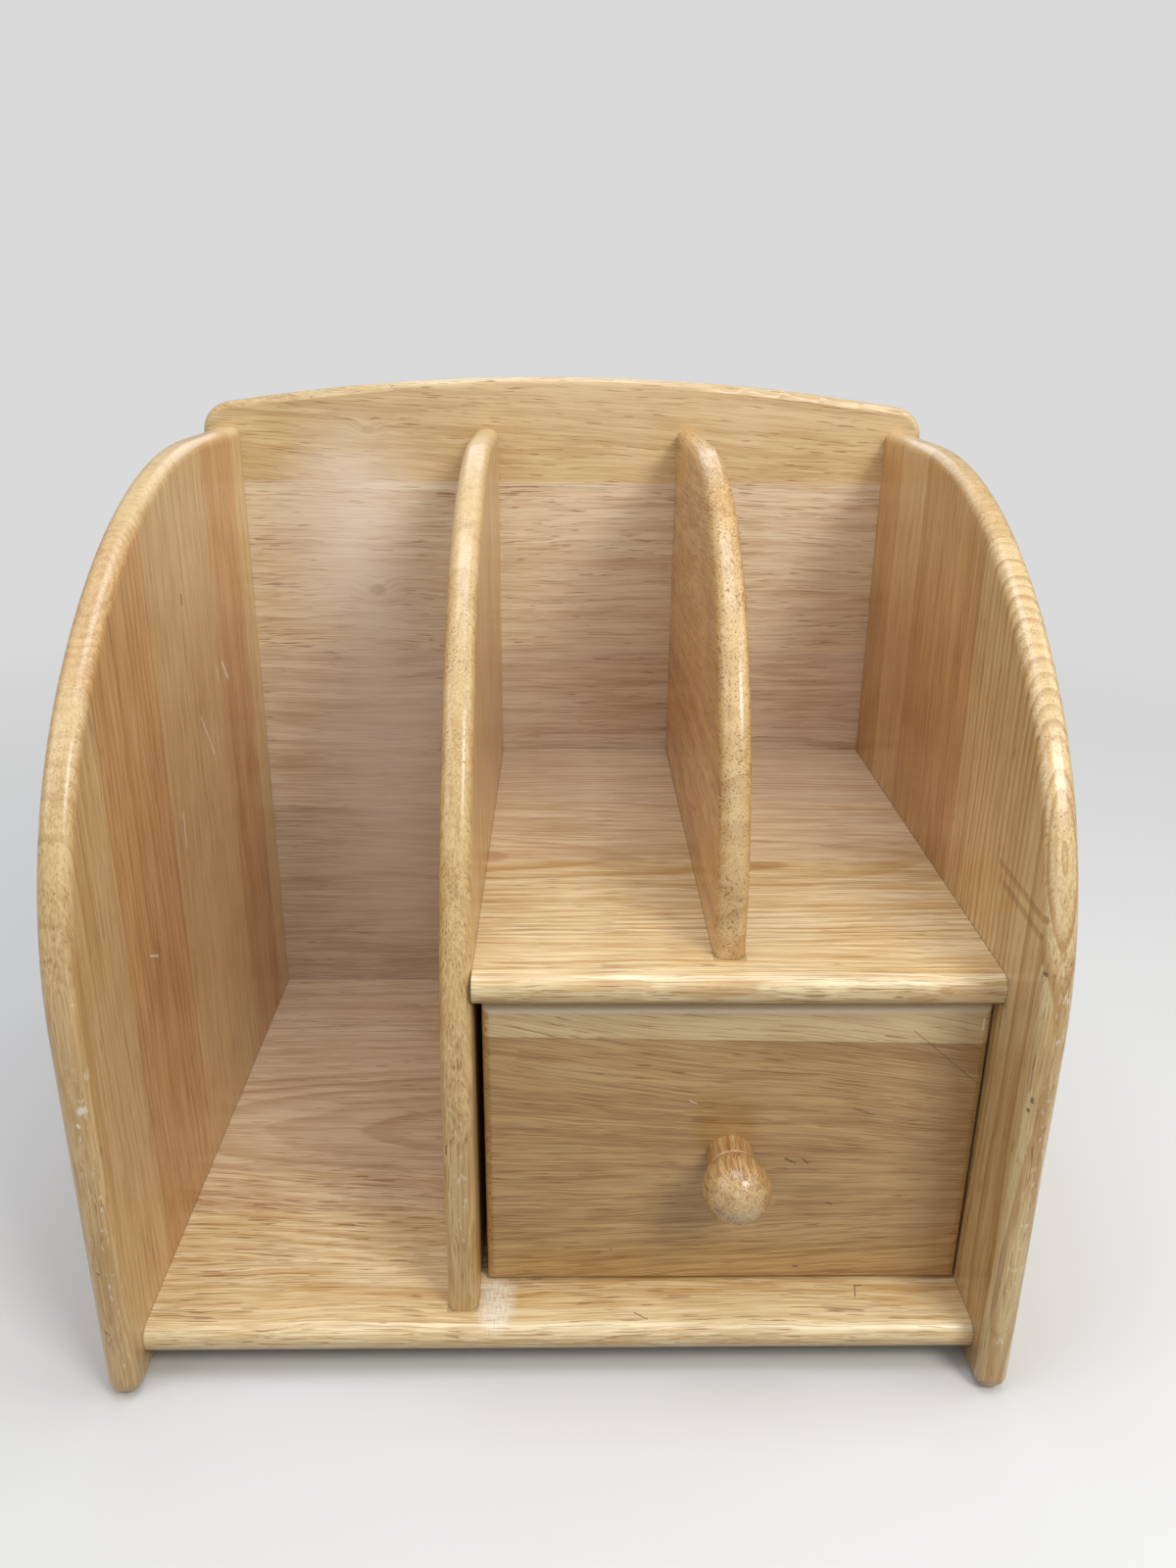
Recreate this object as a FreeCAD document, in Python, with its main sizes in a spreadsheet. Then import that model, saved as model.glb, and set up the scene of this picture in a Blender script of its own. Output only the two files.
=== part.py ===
"""Envelope sorter with a drawer, in solid rubberwood.

Two D-shaped sides stand on their own bottom edges. They hold a base shelf between them
and a wider back panel with an arched top behind them. A centre divider stands on the
base shelf and parts a tall open bay on the left from the right half, where a second
shelf roofs the drawer bay and carries a smaller divider between two letter bays. The
drawer is a plain box with a doweled front and a turned knob, and slides on the base
shelf.

Frame: +Z up, +X to the right as seen from the front, and the front looks along -Y. The
origin is on the floor, at the middle of the sorter's width and depth. Millimetres.
"""
import FreeCAD, Part
import Sketcher
import os
from math import asin, cos, degrees, radians
from types import SimpleNamespace

Vector = FreeCAD.Vector
Rule = Sketcher.Constraint

# Driving dimensions: alias, value in millimetres, what it is.
SIZES = [
    ("board", 12.0, "thickness of the sides, shelves and dividers"),
    ("inner_width", 325.0, "clear width between the sides"),
    ("panel_depth", 280.0, "sides, front edge to back panel"),
    ("panel_height", 338.5, "sides, floor to flat top"),
    ("foot_gap", 10.5, "floor to the underside of the base shelf"),
    ("toe_round", 8.0, "rounding of the sides' front bottom corner"),
    ("edge_round", 4.6, "roundover on the free edges of the upright boards"),
    ("side_reach", 215.0, "sides, run of the shoulder curve from front to back"),
    ("side_plumb", 160.0, "sides, height at which the plumb front edge starts to curve"),
    ("nose_round", 5.5, "roundover on the shelves' noses"),
    ("base_setback", 11.5, "base shelf's nose behind the sides' front"),
    ("shelf_setback", 29.0, "drawer shelf's nose behind the sides' front"),
    ("bay_width", 195.5, "drawer bay, clear width"),
    ("bay_height", 134.0, "drawer bay, clear height"),
    ("divider_setback", 21.5, "centre divider's front behind the sides' front"),
    ("divider_reach", 212.0, "centre divider, run of the shoulder curve"),
    ("divider_plumb", 71.0, "centre divider, plumb part of its front edge"),
    ("letter_bay", 89.8, "clear width between the two dividers"),
    ("letter_setback", 44.0, "letter divider's front behind the sides' front"),
    ("letter_reach", 155.5, "letter divider, run of the shoulder curve"),
    ("letter_plumb", 11.0, "letter divider, plumb part of its front edge"),
    ("back_board", 12.0, "thickness of the back panel"),
    ("back_overhang", 6.5, "back panel past the outer face of each side"),
    ("arch_rise", 24.7, "top of the back panel's arch above the sides"),
    ("arch_radius", 1100.0, "radius of the arch"),
    ("corner_round", 15.0, "radius of the back panel's top corners"),
    ("back_round", 3.8, "roundover on the back panel's ends and top"),
    ("drawer_setback", 37.2, "drawer's face behind the sides' front"),
    ("gap_left", 3.0, "drawer to centre divider"),
    ("gap_right", 0.5, "drawer to right side"),
    ("gap_top", 3.9, "drawer front to drawer shelf"),
    ("gap_rear", 0.8, "drawer to back panel, where it stops"),
    ("gap_runner", 0.3, "drawer box above the base shelf that it slides on"),
    ("front_lift", 0.7, "drawer front above the base shelf"),
    ("front_board", 12.0, "thickness of the drawer front"),
    ("front_round", 3.2, "roundover round the drawer front's face"),
    ("wall", 9.0, "thickness of the drawer's sides and back"),
    ("wall_height", 118.0, "height of the drawer's sides and back"),
    ("wall_round", 1.5, "roundover on the drawer walls' top edges"),
    ("ply", 3.0, "thickness of the drawer's plywood bottom"),
    ("ply_play", 0.4, "plywood's edge to the bottom of its groove"),
    ("groove_lift", 6.0, "groove above the drawer walls' bottom edge"),
    ("groove_depth", 4.0, "depth of the groove for the plywood"),
    ("groove_play", 0.2, "groove's width beyond the plywood's thickness"),
    ("dowel_radius", 3.0, "shelf dowels"),
    ("dowel_length", 24.0, "shelf dowels"),
    ("dowel_face_depth", 7.0, "how far a shelf dowel stands in the upright's face"),
    ("row_inset", 50.0, "first dowel or screw of a row, from the back panel"),
    ("row_pitch", 140.0, "spacing of the two dowels or screws in a row"),
    ("thin_dowel_radius", 2.5, "drawer front's dowels"),
    ("thin_dowel_length", 20.0, "drawer front's dowels"),
    ("thin_dowel_face_depth", 8.0, "how far they stand in the drawer front"),
    ("corner_low", 25.0, "lower dowel or pin of a drawer corner, from the walls' bottom edge"),
    ("corner_pitch", 68.0, "spacing of the two dowels or pins at a drawer corner"),
    ("hole_end", 0.5, "hole beyond the end of what stands in it"),
    ("hole_play", 0.05, "radial clearance of what stands in a hole"),
    ("screw_radius", 1.7, "wood screw's shank"),
    ("screw_head", 3.5, "wood screw's head radius"),
    ("screw_length", 34.0, "wood screw, head included"),
    ("screw_sink", 0.1, "screw's head below the surface"),
    ("rear_low", 70.0, "lower rear screw of the sides and centre divider, from the floor"),
    ("rear_pitch", 200.0, "spacing of the two rear screws"),
    ("pin_radius", 0.9, "drawer back's headless pins"),
    ("pin_length", 24.0, "drawer back's pins"),
    ("knob_drop", 2.3, "knob's axis below the middle of the drawer front"),
    ("knob_neck", 9.1, "knob's neck radius"),
    ("knob_neck_length", 8.4, "knob's neck, up to its roundover"),
    ("knob_neck_round", 0.8, "roundover at the neck's end, down to the crease"),
    ("knob_head", 13.0, "knob's greatest radius"),
    ("knob_length", 33.1, "knob's whole projection"),
    ("knob_shank", 25.0, "shank of the knob's screw"),
    ("pan_head", 3.6, "knob screw's head radius"),
    ("pan_height", 2.2, "knob screw's head height"),
]

doc = FreeCAD.newDocument("EnvelopeSorter")
sheet = doc.addObject("Spreadsheet::Sheet", "Sizes")
for line_number, (alias, value, meaning) in enumerate(SIZES, start=1):
    sheet.set(f"A{line_number}", str(value))
    sheet.setAlias(f"A{line_number}", alias)
    sheet.set(f"B{line_number}", meaning)
doc.recompute()


class Length:
    """A length and the expression on the sheet's cells that gives it."""

    def __init__(self, value, text):
        self.value = float(value)
        self.text = text

    def __add__(self, other):
        other = as_length(other)
        return Length(self.value + other.value, f"({self.text} + {other.text})")

    def __sub__(self, other):
        other = as_length(other)
        return Length(self.value - other.value, f"({self.text} - {other.text})")

    def __mul__(self, factor):
        return Length(self.value * factor, f"{self.text} * {factor}")

    def __truediv__(self, divisor):
        return Length(self.value / divisor, f"{self.text} / {divisor}")

    def __neg__(self):
        return Length(-self.value, f"-{self.text}")

    def __rsub__(self, other):
        return as_length(other) - self

    __rmul__ = __mul__


def as_length(item):
    return item if isinstance(item, Length) else Length(item, str(item))


def smaller(first, second):
    return Length(min(first.value, second.value), f"min({first.text}; {second.text})")


size = SimpleNamespace(
    **{alias: Length(sheet.get(alias), f"Sizes.{alias}") for alias, _, _ in SIZES}
)

# Places that several pieces share.
rear = (size.panel_depth - size.back_board) / 2         # back panel's front face
front = rear - size.panel_depth                         # sides' front edges
right_face = size.inner_width / 2                       # right side's inner face
left_face = -right_face
base_top = size.foot_gap + size.board
shelf_under = base_top + size.bay_height
shelf_top = shelf_under + size.board
divider_right = right_face - size.bay_width
divider_left = divider_right - size.board
letter_left = divider_right + size.letter_bay
base_depth = size.panel_depth - size.base_setback
shelf_depth = size.panel_depth - size.shelf_setback
back_width = size.inner_width + 2 * size.board + 2 * size.back_overhang
back_height = size.panel_height - size.foot_gap + size.arch_rise

drawer_left = divider_right + size.gap_left
drawer_width = size.bay_width - size.gap_left - size.gap_right
drawer_face = front + size.drawer_setback
wall_start = drawer_face + size.front_board             # walls' front ends
wall_length = rear - size.gap_rear - wall_start
wall_bottom = base_top + size.gap_runner
front_bottom = base_top + size.front_lift
front_height = size.bay_height - size.front_lift - size.gap_top
inside_width = drawer_width - 2 * size.wall
inside_length = wall_length - size.wall
groove_bottom = wall_bottom + size.groove_lift
groove_width = size.ply + size.groove_play
knob_x = drawer_left + drawer_width / 2
knob_z = front_bottom + front_height / 2 - size.knob_drop

dowel_hole = size.dowel_radius + size.hole_play
thin_hole = size.thin_dowel_radius + size.hole_play
screw_hole = size.screw_radius + size.hole_play
pin_hole = size.pin_radius + size.hole_play
dowel_end_depth = size.dowel_length - size.dowel_face_depth
thin_end_depth = size.thin_dowel_length - size.thin_dowel_face_depth
screw_hold = size.screw_length + size.screw_sink - size.board    # screw past a shelf
rear_hold = size.screw_length + size.screw_sink - size.back_board
pin_hold = size.pin_length + size.screw_sink - size.wall
knob_hold = size.knob_shank - size.front_board

row = [-size.row_inset, -size.row_inset - size.row_pitch]               # from the back panel
rear_heights = [size.rear_low, size.rear_low + size.rear_pitch]
letter_height = shelf_top + (size.panel_height - shelf_top) / 2         # its one rear screw
corner_heights = [size.corner_low, size.corner_low + size.corner_pitch]

arris = smaller(size.edge_round, 0.45 * size.board)
nose = smaller(size.nose_round, 0.48 * size.board)

TINY = 1e-3
BACKWARDS = FreeCAD.Rotation(Vector(0, 0, 1), 90)       # +X turned to +Y
FORWARDS = FreeCAD.Rotation(Vector(0, 0, 1), -90)       # +X turned to -Y
LEFTWARDS = FreeCAD.Rotation(Vector(0, 0, 1), 180)      # +X turned to -X
UPWARDS = FreeCAD.Rotation(Vector(0, 1, 0), -90)        # +X turned to +Z
nodes = []


# ---- Sketches and features -------------------------------------------------------------

def new_body(name, x=0, y=0, z=0):
    """A PartDesign body, placed from the sheet."""
    body = doc.addObject("PartDesign::Body", name)
    body.Label = name
    place(body, x, y, z)
    return body


def place(item, x, y, z):
    for axis, distance in zip("xyz", (x, y, z)):
        item.setExpression(f"Placement.Base.{axis}", as_length(distance).text)


def new_sketch(body, name, role, offset=0):
    """A sketch on one of the body's origin planes, shifted along the plane's normal."""
    sketch = body.newObject("Sketcher::SketchObject", f"{body.Name}_{name}")
    plane = next(item for item in body.Origin.OriginFeatures if item.Role == role)
    sketch.AttachmentSupport = [(plane, "")]
    sketch.MapMode = "FlatFace"
    sketch.setExpression("AttachmentOffset.Base.z", as_length(offset).text)
    return sketch


def bind(sketch, kind, *references, length):
    """Add a dimension and bind it to the sheet."""
    index = sketch.addConstraint(Rule(kind, *references, length.value))
    sketch.setExpression(f"Constraints[{index}]", length.text)


def pin_down(sketch, geometry, vertex, across, up):
    """Hold one vertex at (across, up) from the sketch's origin."""
    for kind, axis, distance in (("DistanceX", -2, across), ("DistanceY", -1, up)):
        distance = as_length(distance)
        if abs(distance.value) < TINY:
            sketch.addConstraint(Rule("PointOnObject", geometry, vertex, axis))
        elif distance.value > 0:
            bind(sketch, kind, -1, 1, geometry, vertex, length=distance)
        else:
            bind(sketch, kind, geometry, vertex, -1, 1, length=-distance)


def line(start, end):
    return Part.LineSegment(Vector(*start), Vector(*end))


def arc(centre, radius, start, end):
    """A counterclockwise arc between two angles in degrees."""
    circle = Part.Circle(Vector(*centre), Vector(0, 0, 1), radius)
    return Part.ArcOfCircle(circle, radians(start), radians(end))


def draw(sketch, outline, rules):
    for item in outline:
        sketch.addGeometry(item, False)
    for rule in rules:
        sketch.addConstraint(rule)


def rectangle(sketch, left, bottom, width, height):
    left, bottom = as_length(left), as_length(bottom)
    x0, y0 = left.value, bottom.value
    x1, y1 = x0 + width.value, y0 + height.value
    corners = [(x0, y0), (x1, y0), (x1, y1), (x0, y1)]
    outline = [line(corners[i], corners[(i + 1) % 4]) for i in range(4)]
    rules = [Rule("Coincident", i, 2, (i + 1) % 4, 1) for i in range(4)]
    rules += [Rule("Horizontal", 0), Rule("Vertical", 1), Rule("Horizontal", 2), Rule("Vertical", 3)]
    draw(sketch, outline, rules)
    pin_down(sketch, 0, 1, left, bottom)
    bind(sketch, "DistanceX", 0, 1, 0, 2, length=width)
    bind(sketch, "DistanceY", 1, 1, 1, 2, length=height)


def circles(sketch, centres, radius):
    """Circles of one radius round a list of (across, up) centres."""
    for across, up in centres:
        middle = Vector(as_length(across).value, as_length(up).value)
        circle = Part.Circle(middle, Vector(0, 0, 1), radius.value)
        index = sketch.addGeometry(circle, False)
        bind(sketch, "Radius", index, length=radius)
        pin_down(sketch, index, 3, across, up)


def pad(body, sketch, length, reverse=False):
    feature = body.newObject("PartDesign::Pad", f"{body.Name}_pad")
    feature.Profile = sketch
    feature.setExpression("Length", length.text)
    feature.Reversed = reverse
    doc.recompute()
    return feature


def cut(body, kind, sketch, settings, sizes):
    """Add a subtractive feature and make sure that it takes wood away."""
    doc.recompute()
    before = body.Shape.Volume
    feature = body.newObject(kind, f"{sketch.Name}_cut")
    feature.Profile = sketch
    doc.recompute()
    for name, value in settings.items():
        setattr(feature, name, value)
    for name, length in sizes.items():
        feature.setExpression(name, length.text)
    doc.recompute()
    if body.Shape.Volume > before - TINY:
        raise RuntimeError(f"{feature.Name} cuts nothing")
    return feature


def bores(body, name, role, offset, centres, radius, depth, reverse=False):
    """Flat-bottomed round holes, all of one size, sunk from one plane."""
    sketch = new_sketch(body, name, role, offset)
    circles(sketch, centres, radius)
    return cut(body, "PartDesign::Pocket", sketch, {"Reversed": reverse}, {"Length": depth})


def slot(body, name, role, offset, corner, width, height, depth, reverse=False):
    """A straight groove, or any other rectangular pocket."""
    sketch = new_sketch(body, name, role, offset)
    rectangle(sketch, *corner, width, height)
    return cut(body, "PartDesign::Pocket", sketch, {"Reversed": reverse}, {"Length": depth})


def countersunk_holes(body, name, role, offset, centres, depth, reverse=False):
    """Screw holes through a board, each with a seat for a countersunk head."""
    sketch = new_sketch(body, name, role, offset)
    circles(sketch, centres, screw_hole)
    settings = {
        "ThreadType": "None",
        "DepthType": "Dimension",
        "DrillPoint": "Flat",
        "HoleCutType": "Countersink",
        "HoleCutCountersinkAngle": 90,
        "Reversed": reverse,
    }
    seat = 2 * (size.screw_head + size.screw_sink + size.hole_play)
    sizes = {"Diameter": 2 * screw_hole, "Depth": depth, "HoleCutDiameter": seat}
    return cut(body, "PartDesign::Hole", sketch, settings, sizes)


def round_over(body, base, radius, wanted):
    """Fillet the edges of the last feature whose bounding box passes the test."""
    edges = enumerate(base.Shape.Edges, start=1)
    names = [f"Edge{index}" for index, edge in edges if wanted(edge.BoundBox)]
    feature = body.newObject("PartDesign::Fillet", f"{base.Name}_round")
    feature.Base = (base, names)
    feature.setExpression("Radius", radius.text)
    doc.recompute()
    return feature


def revolve(body, sketch, axis):
    feature = body.newObject("PartDesign::Revolution", f"{body.Name}_turning")
    feature.Profile = sketch
    feature.ReferenceAxis = (sketch, [axis])
    feature.Angle = 360
    doc.recompute()
    return feature


def keep(item):
    """Count an object as a sub-part to be written."""
    nodes.append(item)
    return item


# ---- Boards ----------------------------------------------------------------------------

def d_outline(body, depth, height, reach, plumb, toe):
    """The D-shaped outline of an upright board, seen from the sorter's right.

    The back bottom corner is the origin. The front edge rises plumb to a height, there a
    shoulder arc turns it through 45 degrees, and a wider crown arc turns it through the
    other 45 to the flat top, at a reach behind the front edge. With a toe, the front bottom
    corner is rounded as well.
    """
    sketch = new_sketch(body, "outline", "YZ_Plane")
    deep, tall, run, fall = depth.value, height.value, reach.value, (height - plumb).value
    eighth = cos(radians(45))
    shoulder_radius = (eighth * fall - (1 - eighth) * run) / (2 * eighth - 1)
    crown_radius = (eighth * run - (1 - eighth) * fall) / (2 * eighth - 1)
    toe_radius = size.toe_round.value if toe else 0
    bottom, front_edge, shoulder, crown, top, back, toe_arc = range(7)
    outline = [
        line((0, 0), (toe_radius - deep, 0)),
        line((-deep, toe_radius), (-deep, tall - fall)),
        arc((shoulder_radius - deep, tall - fall), shoulder_radius, 135, 180),
        arc((run - deep, tall - crown_radius), crown_radius, 90, 135),
        line((run - deep, tall), (0, tall)),
        line((0, tall), (0, 0)),
    ]
    rules = [
        Rule("Coincident", bottom, 1, -1, 1),
        Rule("Horizontal", bottom),
        Rule("Vertical", front_edge),
        Rule("Tangent", front_edge, 2, shoulder, 2),
        Rule("Tangent", shoulder, 1, crown, 2),
        Rule("Tangent", crown, 1, top, 1),
        Rule("Horizontal", top),
        Rule("Coincident", top, 2, back, 1),
        Rule("Vertical", back),
        Rule("Coincident", back, 2, bottom, 1),
        Rule("Angle", shoulder, radians(45)),
    ]
    if toe:
        outline.append(arc((toe_radius - deep, toe_radius), toe_radius, 180, 270))
        rules.append(Rule("Tangent", toe_arc, 1, front_edge, 1))
        rules.append(Rule("Tangent", toe_arc, 2, bottom, 2))
    else:
        rules.append(Rule("Coincident", bottom, 2, front_edge, 1))
    draw(sketch, outline, rules)
    if toe:
        bind(sketch, "Radius", toe_arc, length=size.toe_round)
    bind(sketch, "DistanceX", front_edge, 2, -1, 1, length=depth)
    bind(sketch, "DistanceY", -1, 1, top, 2, length=height)
    bind(sketch, "DistanceX", front_edge, 2, crown, 1, length=reach)
    bind(sketch, "DistanceY", -1, 1, front_edge, 2, length=plumb)
    return sketch


def upright(name, x, bottom, setback, reach, plumb, toe=False):
    """A D-shaped board standing plumb, its free edges rounded over on both faces.

    The roundover follows the outline from the top of the back edge to the front bottom
    corner, and with a toe it carries on along the bottom.
    """
    bottom = as_length(bottom)
    body = new_body(name, x, rear, bottom)
    depth = size.panel_depth - setback
    height = size.panel_height - bottom
    board = pad(body, d_outline(body, depth, height, reach, plumb, toe), size.board)
    round_over(body, board, arris, lambda box: (
        box.XLength < TINY and box.YMin < -TINY and (toe or box.ZMax > TINY)))
    return keep(body)


def rear_pilots(body, heights):
    """Holes in an upright's back edge for the screws through the back panel."""
    centres = [(size.board / 2, height) for height in heights]
    depth = rear_hold + size.hole_end
    bores(body, "rear_pilots", "XZ_Plane", 0, centres, screw_hole, depth, reverse=True)


def bottom_pilots(body):
    """Holes in a divider's bottom edge for the screws up through the shelf below."""
    centres = [(size.board / 2, y) for y in row]
    depth = screw_hold + size.hole_end
    bores(body, "bottom_pilots", "XY_Plane", 0, centres, screw_hole, depth, reverse=True)


def shelf(name, left, bottom, length, depth, dowel_level):
    """A level board between two uprights, with a rounded nose and doweled ends."""
    body = new_body(name, left, rear, bottom)
    outline = new_sketch(body, "outline", "XY_Plane")
    rectangle(outline, 0, -depth, length, depth)
    board = pad(body, outline, size.board)
    round_over(body, board, nose, lambda box: (
        box.YMax < TINY - depth.value and box.ZLength < TINY))
    centres = [(y, dowel_level) for y in row]
    deep = dowel_end_depth + size.hole_end
    bores(body, "left_dowels", "YZ_Plane", 0, centres, dowel_hole, deep, reverse=True)
    bores(body, "right_dowels", "YZ_Plane", length, centres, dowel_hole, deep)
    return keep(body)


def side(name, x, inner_face, levels, from_left):
    """A side panel, with dowel holes for the shelves at the given levels."""
    body = upright(name, x, 0, 0, size.side_reach, size.side_plumb, toe=True)
    centres = [(y, level) for level in levels for y in row]
    deep = size.dowel_face_depth + size.hole_end
    bores(body, "dowels", "YZ_Plane", inner_face, centres, dowel_hole, deep, reverse=from_left)
    rear_pilots(body, rear_heights)
    return body


def back_outline(body):
    """The back panel from the front: plumb ends, rounded corners and an arched top."""
    sketch = new_sketch(body, "outline", "XZ_Plane")
    half, tall = back_width.value / 2, back_height.value
    arch_radius, corner_radius = size.arch_radius.value, size.corner_round.value
    arch_middle = tall - arch_radius
    lean = asin((half - corner_radius) / (arch_radius - corner_radius))
    corner_height = arch_middle + (arch_radius - corner_radius) * cos(lean)
    turn = 90 - degrees(lean)
    bottom, right, right_corner, arch, left_corner, left = range(6)
    outline = [
        line((-half, 0), (half, 0)),
        line((half, 0), (half, corner_height)),
        arc((half - corner_radius, corner_height), corner_radius, 0, turn),
        arc((0, arch_middle), arch_radius, turn, 180 - turn),
        arc((corner_radius - half, corner_height), corner_radius, 180 - turn, 180),
        line((-half, corner_height), (-half, 0)),
    ]
    draw(sketch, outline, [
        Rule("Horizontal", bottom),
        Rule("PointOnObject", bottom, 1, -1),
        Rule("Coincident", bottom, 2, right, 1),
        Rule("Vertical", right),
        Rule("Tangent", right, 2, right_corner, 1),
        Rule("Tangent", right_corner, 2, arch, 1),
        Rule("Tangent", arch, 2, left_corner, 1),
        Rule("Tangent", left_corner, 2, left, 1),
        Rule("Vertical", left),
        Rule("Coincident", left, 2, bottom, 1),
        Rule("PointOnObject", arch, 3, -2),
    ])
    bind(sketch, "DistanceX", bottom, 1, -1, 1, length=back_width / 2)
    bind(sketch, "DistanceX", -1, 1, bottom, 2, length=back_width / 2)
    bind(sketch, "Radius", right_corner, length=size.corner_round)
    bind(sketch, "Radius", left_corner, length=size.corner_round)
    bind(sketch, "Radius", arch, length=size.arch_radius)
    bind(sketch, "DistanceY", arch, 3, -1, 1, length=size.arch_radius - back_height)
    return sketch


side("left_side", left_face - size.board, size.board,
     [size.foot_gap + size.board / 2], from_left=False)
side("right_side", right_face, 0,
     [size.foot_gap + size.board / 2, shelf_under + size.board / 2], from_left=True)

base_shelf = shelf("base_shelf", left_face, size.foot_gap, size.inner_width, base_depth,
                   size.board / 2)
divider_middle = divider_left + size.board / 2 - left_face
countersunk_holes(base_shelf, "divider_screws", "XY_Plane", 0,
                  [(divider_middle, y) for y in row], size.board, reverse=True)

drawer_shelf = shelf("drawer_shelf", divider_right, shelf_under, size.bay_width, shelf_depth,
                     size.board / 2)
letter_middle = size.letter_bay + size.board / 2
countersunk_holes(drawer_shelf, "divider_screws", "XY_Plane", 0,
                  [(letter_middle, y) for y in row], size.board, reverse=True)

centre_divider = upright("centre_divider", divider_left, base_top, size.divider_setback,
                         size.divider_reach, size.divider_plumb)
bottom_pilots(centre_divider)
rear_pilots(centre_divider, [height - base_top for height in rear_heights])
bores(centre_divider, "dowels", "YZ_Plane", size.board,
      [(y, shelf_under - base_top + size.board / 2) for y in row],
      dowel_hole, size.dowel_face_depth + size.hole_end)

letter_divider = upright("letter_divider", letter_left, shelf_top, size.letter_setback,
                         size.letter_reach, size.letter_plumb)
bottom_pilots(letter_divider)
rear_pilots(letter_divider, [letter_height - shelf_top])

# Every screw through the back panel, as (x, z) seen from the front.
rear_screws = [(x, height) for x in (left_face - size.board / 2, divider_left + size.board / 2,
                                     right_face + size.board / 2) for height in rear_heights]
rear_screws.append((letter_left + size.board / 2, letter_height))

back_panel = keep(new_body("back_panel", 0, rear + size.back_board, size.foot_gap))
panel = pad(back_panel, back_outline(back_panel), size.back_board)
round_over(back_panel, panel, smaller(size.back_round, 0.45 * size.back_board), lambda box: (
    box.YLength < TINY and box.ZMax > TINY))
countersunk_holes(back_panel, "screw_holes", "XZ_Plane", 0,
                  [(x, height - size.foot_gap) for x, height in rear_screws],
                  size.back_board, reverse=True)


# ---- Drawer ----------------------------------------------------------------------------

def drawer_side(name, x, inner_face, from_left):
    """A drawer side: grooved for the plywood, doweled to the front, pinned to the back."""
    body = new_body(name, x, wall_start, wall_bottom)
    outline = new_sketch(body, "outline", "YZ_Plane")
    rectangle(outline, 0, 0, wall_length, size.wall_height)
    wall = pad(body, outline, size.wall)
    top = size.wall_height.value - TINY
    round_over(body, wall, size.wall_round, lambda box: box.ZMin > top and box.XLength < TINY)
    slot(body, "groove", "YZ_Plane", inner_face, (0, size.groove_lift), wall_length,
         groove_width, size.groove_depth, reverse=from_left)
    bores(body, "dowels", "XZ_Plane", 0, [(size.wall / 2, z) for z in corner_heights],
          thin_hole, thin_end_depth + size.hole_end)
    pins = [(wall_length - size.wall / 2, z) for z in corner_heights]
    outer_face = 0 if inner_face else size.wall
    bores(body, "pins", "YZ_Plane", outer_face, pins, pin_hole, size.wall, not from_left)
    return keep(body)


drawer_front = keep(new_body("drawer_front", drawer_left, wall_start, front_bottom))
face_outline = new_sketch(drawer_front, "outline", "XZ_Plane")
rectangle(face_outline, 0, 0, drawer_width, front_height)
face_board = pad(drawer_front, face_outline, size.front_board)
face_level = TINY - size.front_board.value
round_over(drawer_front, face_board, size.front_round, lambda box: box.YMax < face_level)
slot(drawer_front, "groove", "XZ_Plane", 0,
     (size.wall - size.groove_depth, groove_bottom - front_bottom),
     inside_width + 2 * size.groove_depth, groove_width, size.groove_depth, reverse=True)
bores(drawer_front, "dowels", "XZ_Plane", 0,
      [(x, wall_bottom - front_bottom + z) for x in (size.wall / 2, drawer_width - size.wall / 2)
       for z in corner_heights],
      thin_hole, size.thin_dowel_face_depth + size.hole_end, reverse=True)
bores(drawer_front, "knob_hole", "XZ_Plane", 0,
      [(knob_x - drawer_left, knob_z - front_bottom)], screw_hole, size.front_board, reverse=True)

drawer_side("drawer_left_side", drawer_left, size.wall, from_left=False)
drawer_side("drawer_right_side", drawer_left + drawer_width - size.wall, 0, from_left=True)

drawer_back = keep(new_body("drawer_back", drawer_left + size.wall,
                            wall_start + inside_length, wall_bottom))
back_wall_outline = new_sketch(drawer_back, "outline", "XZ_Plane")
rectangle(back_wall_outline, 0, 0, inside_width, size.wall_height)
back_wall = pad(drawer_back, back_wall_outline, size.wall, reverse=True)
round_over(drawer_back, back_wall, size.wall_round, lambda box: (
    box.ZMin > size.wall_height.value - TINY and box.YLength < TINY))
slot(drawer_back, "groove", "XZ_Plane", 0, (0, size.groove_lift), inside_width, groove_width,
     size.groove_depth)
back_pins = [(size.wall / 2, z) for z in corner_heights]
bores(drawer_back, "left_pins", "YZ_Plane", 0, back_pins, pin_hole, pin_hold + size.hole_end,
      reverse=True)
bores(drawer_back, "right_pins", "YZ_Plane", inside_width, back_pins, pin_hole,
      pin_hold + size.hole_end)

ply_reach = size.groove_depth - size.ply_play           # plywood past the walls' inner faces
drawer_bottom = keep(new_body("drawer_bottom", drawer_left + size.wall - ply_reach,
                              wall_start - ply_reach, groove_bottom))
ply_outline = new_sketch(drawer_bottom, "outline", "XY_Plane")
rectangle(ply_outline, 0, 0, inside_width + 2 * ply_reach, inside_length + 2 * ply_reach)
pad(drawer_bottom, ply_outline, size.ply)


# ---- Turned knob -----------------------------------------------------------------------

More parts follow.
